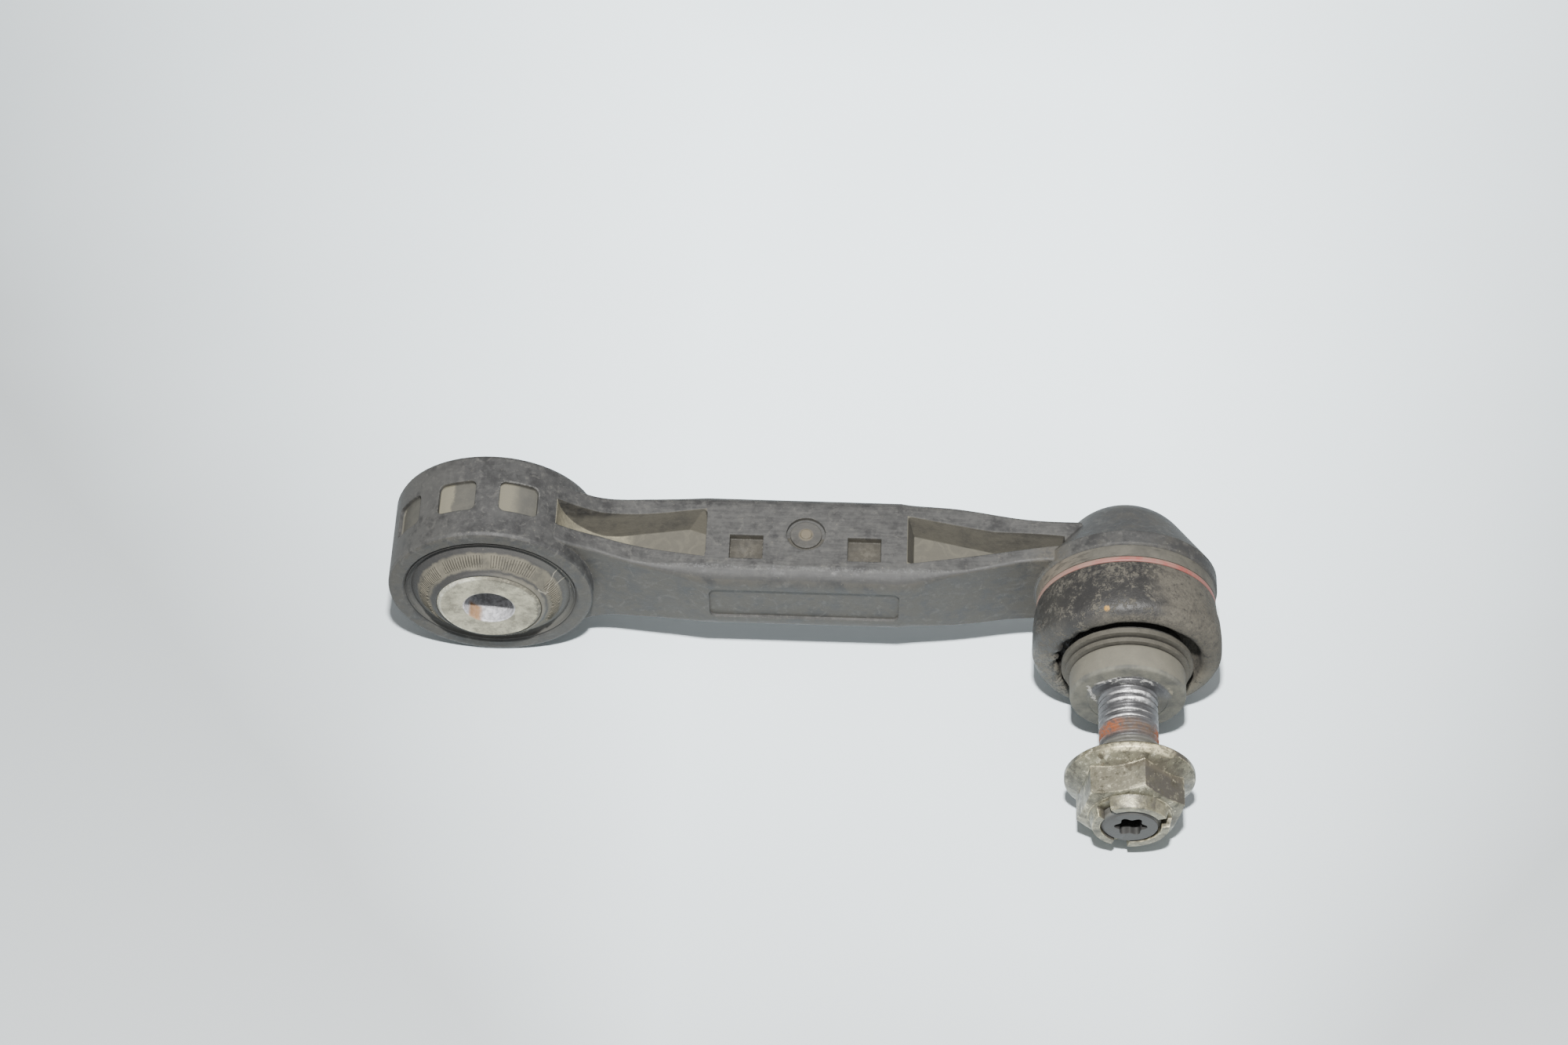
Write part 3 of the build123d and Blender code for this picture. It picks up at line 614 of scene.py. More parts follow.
def ring_finish():
    """Closing ring: olive and tan dust in creases that run round it, and painted shade in its crevices."""
    shade = Shade("ring_dusty")
    x, _, _ = shade.axes()
    fine, patch = shade.noises((0.0011, 5, 0.7), (0.004, 4, 0.62))
    crease = shade.noise(0.0009, 3, 0.6, 6, (0.22, 1.4, 0.22))
    left = x.ramp(BALL.x - mm(7), BALL.x - mm(16))
    shade.start(patch.ramp(0.32, 0.62) * 0.7 + fine * 0.3, (0.128, 0.122, 0.102), (0.235, 0.222, 0.18))
    shade.coat(left * (0.4 + patch.ramp(0.3, 0.6) * 0.5), (0.335, 0.295, 0.235))
    shade.coat(crease.ramp(0.44, 0.36) * 0.6, (0.075, 0.07, 0.058))
    shade.coat(crease.ramp(0.6, 0.7) * 0.5, (0.36, 0.34, 0.28))
    # Painted shade in crevices.
    shade.coat(shade.crevice(0.001).ramp(0.5, 0.9) * 0.6, (0.04, 0.037, 0.03))
    return shade.finish(0.82, fine * 0.5 + crease * 0.6, 0.00012, bevel=0.0002)


def red_finish():
    """Clamp ring: red that dust has dulled, most on the left."""
    shade = Shade("ring_red")
    c = colours()
    x, y, _ = shade.axes()
    fine, patch = shade.noises((0.001, 5, 0.7), (0.0045, 3, 0.6))
    along = BALL.y - y
    left = x.ramp(BALL.x - mm(5), BALL.x - mm(14))
    cover = patch.ramp(0.4, 0.62) * 0.5 + fine.ramp(0.45, 0.65) * 0.25 + along.span(8.1, 7.55) * 0.45
    cover = (cover + left * 0.75).limited()
    shade.start(cover, c.red, (0.45, 0.335, 0.285))
    shade.coat(along.span(8.45, 8.62) * 0.5, (0.22, 0.095, 0.075))
    return shade.finish(0.55 + cover * 0.3, fine, 0.00005, bevel=0.0002)


# Ends of the pale cracks in the bush's face, as (x, z) in millimetres from its middle
CRACKS = (((11.9, 4.2), (13.4, 7.6)), ((13.4, 7.6), (15, 8.6)), ((11.9, 3.8), (14.6, 5)),
          ((14.6, 5), (16.3, 5.4)), ((16.3, 5.4), (16.6, 1.6)), ((10.4, 5.6), (11.8, 3.6)))
# Gaps between the blocks of ribs painted as shade and highlights, as degrees from the top and half widths
RIB_GAPS = ((54, 8), (135, 13), (-143.5, 11.5), (-43, 3), (1, 3))


def rubber_finish():
    """Bush rubber: tan dust over its ribs, dark smooth rubber outside them and a few pale cracks, with
    painted shade between the ribs, in the groove and at the ribs' roots, and painted highlights on the rib
    crests and the lip.
    """
    shade = Shade("bush_rubber")
    c = colours()
    x, _, z = shade.axes()
    radius = shade.round_about(BUSH)
    fine, patch, grit, rings = shade.noises((0.0011, 5, 0.7), (0.0034, 4, 0.62),
                                            (0.00045, 2, 0.6), (0.0022, 3, 0.6))
    wave = radius + (rings - 0.5) * mm(1.3)
    band = wave.span(11.7, 12.3) * wave.span(15.1, 14.6)
    dull = patch.ramp(0.3, 0.55) * 0.35 + fine.ramp(0.35, 0.65) * 0.25
    tan = shade.mix(patch.ramp(0.35, 0.65) * 0.6 + fine * 0.3, (0.205, 0.19, 0.15), (0.355, 0.335, 0.272))
    shade.start(dull, c.rubber, (0.092, 0.088, 0.081))
    shade.coat(band * (0.55 + patch.ramp(0.3, 0.5) * 0.45), tan)
    turns = (x - BUSH.x).maths("ARCTAN2", z - BUSH.z) * (180 / math.pi)
    ribs = radius.span(12.3, 12.5) * radius.span(14.6, 14.4) * fine.ramp(0.36, 0.48)
    for gap, reach in RIB_GAPS:
        ribs = ribs * abs(turns - gap).ramp(reach, reach + 1)
    # Ribs painted as light and shade: painted shade in the gaps between them, painted highlights on their
    # crests.
    beat = (turns * (sizes().rib_count * math.pi / 180)).maths("COSINE")
    shade.coat(ribs * beat.ramp(-0.1, 0.7) * 0.75, (0.08, 0.074, 0.058))
    shade.coat(ribs * beat.ramp(-0.3, -0.9) * 0.4, (0.37, 0.35, 0.29))
    # Paler towards the bottom and the right of the outer ring.
    outer = radius.span(14.7, 15.4) * (z.span(2, -9) * 0.45 + x.span(4, 12) * 0.35)
    shade.coat(outer.limited(), (0.225, 0.22, 0.195))
    hub = wave.span(11.8, 11.2) * x.span(-2, 8) * patch.ramp(0.3, 0.5)
    shade.coat(hub * 0.9, tan)
    # Painted highlight on the raised lip.
    lip = radius.span(16.6, 16.8) * radius.span(17.25, 17.1)
    shade.coat(lip * (0.15 + fine.ramp(0.4, 0.6) * 0.3), (0.24, 0.235, 0.215))
    # Painted shade in the groove inside the lip.
    shade.coat(radius.span(16.18, 16.32) * radius.span(16.62, 16.5) * 0.35, (0.05, 0.048, 0.045))
    cracks = shade.lines(CRACKS, 0.17)
    shade.coat((cracks * fine.ramp(0.3, 0.5)).limited() * 0.8, (0.44, 0.425, 0.375))
    # Painted shade at the roots of the ribs.
    root = shade.crevice(0.0007).ramp(0.12, 0.5) * radius.span(15.2, 14.8)
    shade.coat(root * 0.8, (0.045, 0.041, 0.033))
    shade.coat(grit.ramp(0.64, 0.75) * 0.4, c.dust_pale)
    height = fine * 0.6 + grit * 0.4
    return shade.finish((0.55 + band * 0.3 + dull * 0.3).limited(), height, 0.0001)


def boot_finish():
    """Boot rubber: black and glossy where it was wiped, with dry clay speckled or caked on the rest, painted
    light on its right front and painted shade in its gaps.
    """
    shade = Shade("boot_rubber")
    c = colours()
    across, along, up = shade.from_ball()
    blotch = shade.noise(0.0085, 4, 0.62)
    patch = shade.noise(0.0026, 5, 0.75, 2)
    fine = shade.noise(0.0009, 4, 0.7, 5)
    grit = shade.noise(0.0004, 2, 0.6, 8)
    rough_edge = (blotch - 0.5) * 8 + (patch - 0.5) * 6
    right = (across + rough_edge).ramp(2, 8)
    top = (13.2 - along + rough_edge * 0.5).ramp(-0.6, 1.2) * (up + across * 0.2).ramp(2, 8)
    front = (along + rough_edge * 0.3).ramp(20.6, 21.4) * (across + rough_edge * 0.6).ramp(-11, -3)
    under = (up + rough_edge).ramp(-4, -12)
    cake = (right + front + under * 0.8).limited()
    left = (across + rough_edge).ramp(-11, -19) * (along + rough_edge * 0.4).ramp(19, 21)
    speckled = top.larger(left)
    flakes = fine.ramp(0.44, 0.56) * (0.35 + patch.ramp(0.35, 0.6) * 0.65)
    flecks = (fine * 0.55 + grit * 0.45).ramp(0.465, 0.525)
    cover = (cake * (0.7 + flecks * 0.3) + speckled * flakes * (0.4 + flecks * 0.6)).limited()
    cover = cover.larger(patch.ramp(0.51, 0.57) * flecks * 0.75)
    film = 0.25 + patch.ramp(0.35, 0.6) * 0.45
    clay = shade.mix(patch.ramp(0.3, 0.7) * 0.6 + fine * 0.35, (0.15, 0.138, 0.115), (0.292, 0.273, 0.228))
    black = shade.mix(film, (0.042, 0.042, 0.044), (0.082, 0.079, 0.073))
    shade.start(cover, black, clay)
    # Painted light: paler clay on the right front, which the lamps leave under-lit.
    pale = front * across.ramp(4, 11) * up.ramp(2, -4)
    shade.coat(pale * 0.6, (0.36, 0.34, 0.285))
    # Paler towards the left.
    shade.coat(across.ramp(-11, -16) * 0.22, (0.2, 0.19, 0.165))
    crackle = (across + rough_edge * 0.3).ramp(-9, -12) * along.ramp(18.4, 20.2) * up.ramp(5, 1)
    shade.coat(crackle * flecks * 0.75, (0.34, 0.325, 0.28))
    dots = fine.ramp(0.42, 0.36) * cake * 0.6
    shade.coat(dots, (0.045, 0.042, 0.038))
    # Painted shade in the gaps.
    gap = shade.crevice(0.0028).ramp(0.6, 0.95)
    shade.coat(gap * 0.6, (0.03, 0.028, 0.024))
    yellow = shade.near(by_ball(-5.4, -20, 17.9), 0.2, 0.75)
    shade.coat((yellow * fine.ramp(0.36, 0.5) * 1.5).limited(), (0.55, 0.42, 0.12))
    shade.coat(grit.ramp(0.66, 0.75) * (0.15 + cover * 0.3), c.dust_pale)
    rough = 0.44 + cover * 0.5 + patch * 0.15
    height = cover * 0.35 + patch * 0.3 + fine * 0.45 + grit * 0.2
    return shade.finish(rough.limited(), height, 0.0002, Specular_IOR_Level=0.35)


def sleeve_finish():
    """Sleeve steel: pale and gritty on its ends, bright in its bore with a little rust low on the left."""
    shade = Shade("sleeve_steel")
    x, y, z = shade.axes()
    radius = shade.round_about(BUSH)
    fine, blotch, grit, stain = shade.noises((0.0008, 5, 0.7), (0.0045, 4, 0.6),
                                             (0.00032, 2, 0.6), (0.0022, 4, 0.7))
    bore = radius.span(5.45, 5.2)
    dirt = (fine.ramp(0.42, 0.72) * 0.5 + blotch.ramp(0.35, 0.68) * 0.6).limited()
    face = shade.mix(dirt, (0.61, 0.6, 0.535), (0.375, 0.36, 0.295))
    face = shade.mix(stain.ramp(0.5, 0.6) * 0.55, face, (0.33, 0.31, 0.245))
    face = shade.mix(fine.ramp(0.58, 0.68) * 0.6, face, (0.68, 0.675, 0.62))
    rim = radius.span(9.7, 10.3) * x.span(1, -6)
    face = shade.mix(rim * fine.ramp(0.35, 0.6) * 0.8, face, (0.72, 0.72, 0.69))
    crust = (radius + (blotch - 0.5) * mm(2.2)).span(9.9, 10.4) * (0.35 + x.span(-4, 5) * 0.5)
    face = shade.mix(crust * fine.ramp(0.3, 0.5), face, (0.21, 0.19, 0.148))
    wall = shade.mix(fine.ramp(0.4, 0.6), (0.66, 0.66, 0.67), (0.54, 0.54, 0.55))
    rusty = x.span(-1.4, -2.6) * x.span(-5, -4.2) * z.span(-2, -3.2)
    rusty = rusty * y.span(-9.6, -10.6) * blotch.ramp(0.3, 0.45)
    wall = shade.mix((rusty * 0.85).limited(), wall, (0.52, 0.37, 0.15))
    shade.start(bore, face, wall)
    shade.coat(grit.ramp(0.58, 0.7) * (0.5 - bore * 0.45), (0.155, 0.14, 0.105))
    rough = 0.6 - bore * 0.27 + dirt * 0.15
    metallic = 0.2 - bore * 0.1
    height = (fine * 0.6 + grit * 0.6) * (1 - bore * 0.6)
    return shade.finish(rough.limited(), height, 0.00009, bevel=0.0003, metallic=metallic.limited())


# Ends of the scrapes on the collar's face, as (x, z) in millimetres from the ball
SCRAPES = (((-8.3, 4.6), (-8, 2.6)), ((-8, 2.6), (-7.3, 1.2)), ((-7.3, 1.2), (-6.6, -0.9)),
           ((-6.9, 5.4), (-3, 7.9)))
# Painted highlights on crests of the bare thread, as distances in front of the ball and half widths
PAINTED_CREST_HIGHLIGHTS = ((31.4, 0.55), (33, 0.55), (35.5, 0.45), (36.9, 0.4))


def stud_finish():
    """Stud steel: dusty collar, scraped face, worn thread with painted highlights on its crests and a band of
    rust before the nut, and painted shade in the key socket.
    """
    shade = Shade("stud_steel")
    c = colours()
    radius = shade.round_about(BALL)
    across, along, up = shade.from_ball()
    fine, patch, grit = shade.noises((0.0009, 5, 0.7), (0.0034, 4, 0.62), (0.0004, 2, 0.6))
    jitter = (patch - 0.5) * 1.6
    wall = radius.span(11.2, 11.6) * along.ramp(30.2, 29.7)
    upper = shade.mix(patch.ramp(0.3, 0.7) * 0.4 + fine * 0.4, (0.275, 0.262, 0.212), (0.365, 0.35, 0.292))
    lower = shade.mix(patch.ramp(0.35, 0.65), (0.2, 0.2, 0.178), (0.34, 0.335, 0.285))
    shade.start(wall * along.ramp(29.4, 28.9), lower, upper)
    metal = shade.mix(patch.ramp(0.35, 0.65) * 0.6 + fine * 0.3, (0.36, 0.36, 0.37), (0.15, 0.15, 0.16))
    root = (radius + jitter * 0.0006).span(9, 8.2) * up.ramp(-1, 4) * along.ramp(29.4, 29.8)
    shank = radius.span(6.5, 6.15) * along.ramp(30.15, 30.35)
    bare = root.larger(shank)
    shade.coat(bare, metal)
    glitter = root * fine.ramp(0.52, 0.6) * (up + jitter).ramp(5.8, 6.6)
    shade.coat(glitter.limited() * 0.8, (0.66, 0.66, 0.65))
    smear = shade.lines(SCRAPES, 0.34, BALL, 1)
    smear = (smear * along.ramp(29.6, 29.9) * along.ramp(30.6, 30.4) * fine.ramp(0.4, 0.56)).limited()
    shade.coat(smear * 0.85, (0.6, 0.595, 0.58))
    spot = shade.line((7.9, 4.6), (8.5, 2.8), 0.5, BALL, 0.4) * along.ramp(29.6, 29.9) * fine.ramp(0.42, 0.56)
    shade.coat(spot * 0.8, (0.5, 0.48, 0.41))
    zone = (along + jitter).ramp(37.3, 38.3) * (along + jitter * 0.8).ramp(41.4, 40.4)
    # Painted highlights on the thread's crests, along its top middle.
    crest_highlight_band = across.ramp(-5.5, -0.5) * across.ramp(5.2, 0.8)
    wavy = along + (fine - 0.5) * 0.5
    for crest_at, width in PAINTED_CREST_HIGHLIGHTS:
        crest = abs(wavy - crest_at).ramp(width, width * 0.3) * shank
        shade.coat(crest * crest_highlight_band * (0.35 + fine.ramp(0.6, 0.42) * 0.65), (0.86, 0.86, 0.86))
    band = (zone * shank * (0.35 + fine.ramp(0.36, 0.56) * 0.65)).limited()
    orange = (across + jitter * 1.5).ramp(-0.5, -3.6) * fine.ramp(0.36, 0.5)
    orange = orange.larger((across - jitter).ramp(4.6, 5.4) * up.ramp(4.5, 2.5))
    rust = shade.mix(fine.ramp(0.4, 0.6), c.rust_dark, (0.245, 0.165, 0.118))
    rust = shade.mix((orange * 0.9).limited(), rust, c.rust)
    shade.coat(band, rust)
    low = shank * along.ramp(40.6, 42.2)
    shade.coat(low * 0.75, shade.mix(fine, (0.16, 0.155, 0.128), (0.32, 0.31, 0.265)))
    shade.coat(grit.ramp(0.62, 0.74) * 0.3, (0.085, 0.08, 0.07))
    end = along.ramp(58.9, 59.2)
    shade.coat(end, shade.mix(fine * 0.6 + patch * 0.3, (0.065, 0.064, 0.062), (0.12, 0.117, 0.11)))
    # The key socket: painted shade makes its upper part near black, its lower wall grey.
    hole = radius.span(3.45, 3.3) * along.ramp(53, 53.5) * along.ramp(59.39, 59.3)
    shade.coat(hole, shade.mix(up.ramp(-0.6, 0.4), (0.07, 0.069, 0.067), (0.012, 0.012, 0.012)))
    metallic = (bare * 0.55 - band * 0.85 - low * 0.5 - end - smear).limited()
    rough = 0.82 - bare * 0.52 + band * 0.45 + fine * 0.1 + low * 0.25
    height = fine * 0.5 + grit * 0.4 + band * 0.3
    return shade.finish(rough.limited(), height, 0.00009, bevel=0.0002, metallic=metallic)


def nut_finish():
    """Nut: zinc plating stained olive, with brown specks, one darker flat, darker crevices, painted light on
    its upper flat and painted highlights on its edges, flange top and crown.
    """
    shade = Shade("nut_zinc")
    across, along, up = shade.from_ball()
    fine, patch, grit = shade.noises((0.001, 5, 0.7), (0.0036, 4, 0.62), (0.0004, 2, 0.6))
    crevice = shade.crevice(0.002)
    stain = (patch.ramp(0.34, 0.64) * 0.65 + fine.ramp(0.38, 0.66) * 0.45).limited()
    shade.start(stain, (0.46, 0.445, 0.355), (0.225, 0.212, 0.155))
    mottle = shade.noise(0.0022, 5, 0.75, 14)
    shade.coat(mottle.ramp(0.5, 0.58) * 0.8, (0.19, 0.176, 0.122))
    shade.coat(mottle.ramp(0.44, 0.37) * 0.7, (0.6, 0.59, 0.53))
    # Painted light on the flat turned up and to the left.
    flat = shade.facing((-0.33, 0, 0.95)).ramp(0.93, 0.99)
    shade.coat(flat * patch.ramp(0.6, 0.45) * 0.7, (0.42, 0.405, 0.34))
    # The flat turned up and to the right is made darker.
    darker_flat = shade.facing((0.66, 0, 0.75)).ramp(0.9, 0.97) * (0.55 + patch.ramp(0.3, 0.55) * 0.45)
    shade.coat(darker_flat, (0.12, 0.106, 0.085))
    shade.coat(mottle.ramp(0.54, 0.61) * 0.6, (0.125, 0.11, 0.07))
    shade.coat(mottle.ramp(0.42, 0.35) * 0.5 * (1 - darker_flat * 0.7), (0.66, 0.65, 0.58))
    hub = (along + (patch - 0.5) * 3).ramp(49.4, 50.6) * along.ramp(52.2, 51.2) * across.ramp(-6, 0)
    shade.coat((hub * up.ramp(0, 6) * 0.8).limited(), (0.2, 0.172, 0.118))
    brown = shade.noise(0.0024, 4, 0.6, 9).ramp(0.6, 0.68) * fine.ramp(0.4, 0.55)
    shade.coat(brown * 0.8, (0.155, 0.098, 0.045))
    mark = shade.near(by_ball(-6.4, -49.4, 10), 0.4, 1.1)
    mark = mark + shade.near(by_ball(3.2, -48, 12.8), 0.7, 1.5)
    shade.coat(mark.limited() * 0.85, (0.105, 0.078, 0.043))
    # Darker deep in crevices.
    shade.coat(crevice.ramp(0.3, 0.75) * 0.8, (0.085, 0.075, 0.053))
    shade.coat(fine.ramp(0.56, 0.68) * patch.ramp(0.6, 0.45) * 0.6, (0.6, 0.585, 0.51))
    # Painted highlights on the worn edges.
    edge = shade.edge(0.0004) * patch.ramp(0.56, 0.44) * fine.ramp(0.38, 0.58) * (1 - darker_flat * 0.6)
    shade.coat((edge * 0.7).limited(), (0.74, 0.72, 0.64))
    # Painted highlight on the top of the crown.
    crown_highlight = along.ramp(57.1, 57.6) * up.ramp(2, 7) * patch.ramp(0.62, 0.45)
    shade.coat(crown_highlight * 0.6, (0.5, 0.485, 0.39))
    # Painted highlight on the top of the flange.
    top = along.ramp(49.6, 49.2) * along.ramp(47.6, 48.2) * across.ramp(-8, -2) * across.ramp(9, 5)
    shade.coat(top * up.ramp(5, 9) * fine.ramp(0.62, 0.4) * 0.7, (0.78, 0.76, 0.68))
    shade.coat(grit.ramp(0.63, 0.74) * 0.35, (0.11, 0.095, 0.065))
    metallic = (0.6 - stain * 0.35 - brown * 0.4 - darker_flat * 0.45).limited()
    rough = (0.3 + stain * 0.25 + brown * 0.2 + darker_flat * 0.25).limited()
    return shade.finish(rough, fine * 0.5 + grit * 0.45, 0.0001, bevel=0.0003, metallic=metallic)


# Pieces

class Build:
    """Runs build() when the operator is called."""

    def execute(self, context):
        self.build()
        return {"FINISHED"}


class LINK_OT_body(Build, bpy.types.Operator):
    """Finish of the moulded link"""
    bl_idname = "link.body"
    bl_label = "Link moulding"

    def build(self):
        paint("link_body", nylon_finish())


# One face of the bush rubber from the sleeve to the eye, as (radius, distance from the middle)
RUBBER_FACE = (
    (10.75, 12.9), (10.85, 13.05), (11.1, 13.08), (11.4, 12.8), (12, 12.37), (13, 11.6), (14, 10.83),
    (15, 10.06), (15.7, 9.52), (16.1, 9.2), (16.32, 8.95), (16.5, 8.9), (16.64, 9), (16.78, 9.17),
    (16.98, 9.34), (17.14, 9.62), (17.28, 9.84), (17.38, 9.9),
)
RUBBER_STEPS = 900
# Radii between which the rubber's face has its waves and ribs
FREE_FROM = 11.0
FREE_TO = 17.3
# Blocks of moulded ribs, as first and last degree and inner and outer radius
RIB_BLOCKS = ((4, 14, 12.3, 13.2), (14, 46, 12.2, 13.1), (14, 46, 13.5, 14.4), (62, 122, 12.5, 14.7),
              (148, 205, 12.6, 14.3), (228, 250, 12.6, 14.2), (252, 314, 12.3, 14.6), (320, 358, 12.5, 14.5))
RIB_END = 0.22
RIB_UNEVEN = 0.5


def ridges(angle, radius, count):
    """Height share of the plain moulded ribs that stand in blocks round the bush's face."""
    turns = math.degrees(angle) % 360
    share = 0.0
    for first, last, low, high in RIB_BLOCKS:
        if first < turns < last:
            random.seed(math.floor(turns / 360 * count) * 7 + int(low * 10))
            inner = low + random.random() * RIB_UNEVEN
            outer = high - random.random() * RIB_UNEVEN
            inside = unit((radius - inner) / RIB_END) * unit((outer - radius) / RIB_END)
            profile = 0.5 - 0.5 * math.cos(turns / 360 * count * 2 * math.pi)
            share = max(share, inside * profile)
    return share


class LINK_OT_bush(Build, bpy.types.Operator):
    """Bush rubber with a raised lip and moulded ribs, and the finish of its sleeve"""
    bl_idname = "link.bush"
    bl_label = "Bush"

    def build(self):
        s = sizes()

        def ribbed(radius, along, angle):
            if not FREE_FROM <= radius <= FREE_TO:
                return radius, along
            wave = noise.noise(Vector((math.sin(angle) * 3, radius * 0.35, math.cos(angle) * 3)))
            lift = s.rib_height / MM * (ridges(angle, radius, s.rib_count) - 0.35) + 0.08 * wave
            edge = min(1.0, (radius - FREE_FROM) / 0.5)
            return radius, along + math.copysign(1, along) * edge * lift

        face = smooth_outline(RUBBER_FACE, 0.2, closed=False)
        outline = [(r, -y) for r, y in face] + face[::-1]
        rubber = turn("bush_rubber_ribbed", outline, BUSH, RUBBER_STEPS, ribbed)
        place(rubber, rubber_finish(), "link", "bush_rubber", "bush_rubber")
        paint("bush_sleeve", sleeve_finish())


# Node, finish, clean tone, dust's tone, share of dust and roughness
DUSTY = (
    ("seal_ring", "seal_dusty", (0.11, 0.101, 0.079), (0.235, 0.218, 0.173), 0.52, 0.7),
    ("boot_neck_ring", "band_dull", (0.1, 0.1, 0.098), (0.17, 0.155, 0.128), 0.4, 0.5),
    ("ball_seat", "seat_pale", (0.62, 0.6, 0.54), (0.5, 0.47, 0.4), 0.2, 0.35),
)


class LINK_OT_rings(Build, bpy.types.Operator):
    """Closing ring, red clamp ring, seal ring, spring ring and ball seat"""
    bl_idname = "link.rings"
    bl_label = "Rings and seat"

    def build(self):
        paint("closing_ring", ring_finish())
        paint("boot_clamp_ring", red_finish())
        for node, *finish in DUSTY:
            paint(node, dusty_finish(*finish))


# Closed outline of the boot's wall as (radius, distance in front of the ball), outer side first
BOOT_OUTLINE = (
    (18.25, 8.78), (18.5, 9.6), (18.85, 11), (19.1, 12.4), (19.3, 14), (19.38, 15.6), (19.4, 17),
    (19.38, 18.3), (19.15, 19.5), (18.6, 20.5), (17.7, 21.3), (16.9, 21.65), (16.2, 21.75), (15.5, 21.6),
    (15, 21.2), (14.75, 20.6), (14.7, 19.8), (14.5, 18.9), (14, 18), (13.2, 17.5), (12.4, 17.4),
    (11.7, 17.5), (11.25, 17.9), (11.1, 18.5), (11.1, 20), (11, 20.9), (10.7, 21.25), (10.1, 21.3),
    (9.5, 21.2), (9.47, 19), (9.5, 16.3),
    (10.6, 16.1), (12, 16.05), (13.6, 16.2), (15.2, 16.7), (16.1, 17.8), (16.5, 19), (16.9, 19.6),
    (17.4, 19.3), (17.65, 18.2), (17.7, 16.6), (17.55, 14.6), (17.2, 12.4), (16.6, 10.7), (15.4, 10.35),
    (14.2, 10.3), (14.2, 7.6), (15.7, 7.55), (15.8, 8.7), (17.4, 8.76),
)
BOOT_STEPS = 360


class LINK_OT_boot(Build, bpy.types.Operator):
    """Rubber boot, a little out of round"""
    bl_idname = "link.boot"
    bl_label = "Dust boot"

    def build(self):
        lumps = sizes().boot_lumps / MM

        def lumpy(radius, along, angle):
            at = Vector((math.sin(angle) * 1.6, along * 0.11, math.cos(angle) * 1.6))
            swell = noise.noise(at) * lumps + noise.noise(at * 3.1) * lumps * 0.35
            share = unit((-along - 9.0) / 2.5) * unit((radius - 13.0) / 2.0)
            left = max(0.0, -math.sin(angle)) ** 2
            mouth = unit((-along - 18.5) / 2.5) * unit((17.2 - radius) / 2.0)
            fold = math.sin(angle * 22 + math.sin(angle * 9)) * 0.22 * left * mouth
            pull = mouth * (left * 0.9 - 0.25)
            return radius + (swell - lumps * 0.4) * share + fold - pull, along + 0.25 * swell * share + fold

        outline = smooth_outline([(r, -y) for r, y in BOOT_OUTLINE], 0.45, closed=True)
        boot = turn("dust_boot_worn", outline, BALL, BOOT_STEPS, lumpy)
        boot.data.materials.append(boot_finish())
        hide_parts("dust_boot")
        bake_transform(boot)


def curve_between(p0, p1, p2, p3, spacing):
    """Points from p1 up to p2 on a smooth curve through four points."""
    steps = max(1, round((p2 - p1).length / spacing))
    made = []
    for k in range(steps):
        t = k / steps
        point = 0.5 * (2 * p1 + (p2 - p0) * t + (2 * p0 - 5 * p1 + 4 * p2 - p3) * t**2
                       + (3 * p1 - p0 - 3 * p2 + p3) * t**3)
        made.append(tuple(point))
    return made


def smooth_outline(points, spacing, closed):
    """Outline with points added on a smooth curve through the given ones."""
    ends = [points[-1], *points, *points[:2]] if closed else [points[0], *points, points[-1]]
    made = []
    for i in range(len(ends) - 3):
        made += curve_between(*(Vector(ends[i + k]) for k in range(4)), spacing)
    return made if closed else made + [points[-1]]


# The stud in millimetres. Its neck and its collar are outlines of (radius, distance in front of the ball).
BALL_RADIUS = 9.5
BALL_STEPS = 24
NECK = ((5.6, 8.2), (5.6, 11.8), (6.8, 16.8), (6.8, 24.05))
COLLAR = ((6.8, 24.12), (11.7, 24.12), (11.7, 30.0), (8.0, 30.0), (8.0, 30.25))
THREAD_FROM = 30.25
THREAD_ROW = 0.125
STUD_END = 59.4
STUD_STEPS = 144
RELIEF = (46.0, 47.0)
RELIEF_DEPTH = 0.48
CHAMFER = 0.6
AXIS_RADIUS = 0.02
SOCKET_DEPTH = 5.5
SOCKET_RADIUS = 2.85
SOCKET_LOBE = 0.42


def stud_outline(crest):
    """Outline of the stud up to its thread."""
    outline = []
    for i in range(BALL_STEPS + 1):
        angle = math.pi * i / BALL_STEPS
        radius = BALL_RADIUS * math.sin(angle)
        if angle > math.pi / 2 and radius < NECK[0][0]:
            break
        outline.append((radius, -BALL_RADIUS * math.cos(angle)))
    outline += rounded(NECK, 0.5)
    return outline + rounded((*COLLAR, (crest, THREAD_FROM)), 0.7)[1:]


def thread_drop(phase, depth):
    """Drop of a worn thread below its crest, for a place from 0 to 1 between two crests."""
    away = abs(phase - round(phase)) * 2
    drop = unit((away - 0.22) / 0.62)
    return depth * drop * drop * (3 - 2 * drop)


def relief(along):
    """Share of the relief groove's depth at a place along the stud."""
    first, last = RELIEF
    return unit((along - first + 0.12) / 0.25) * unit((last + 0.12 - along) / 0.25)


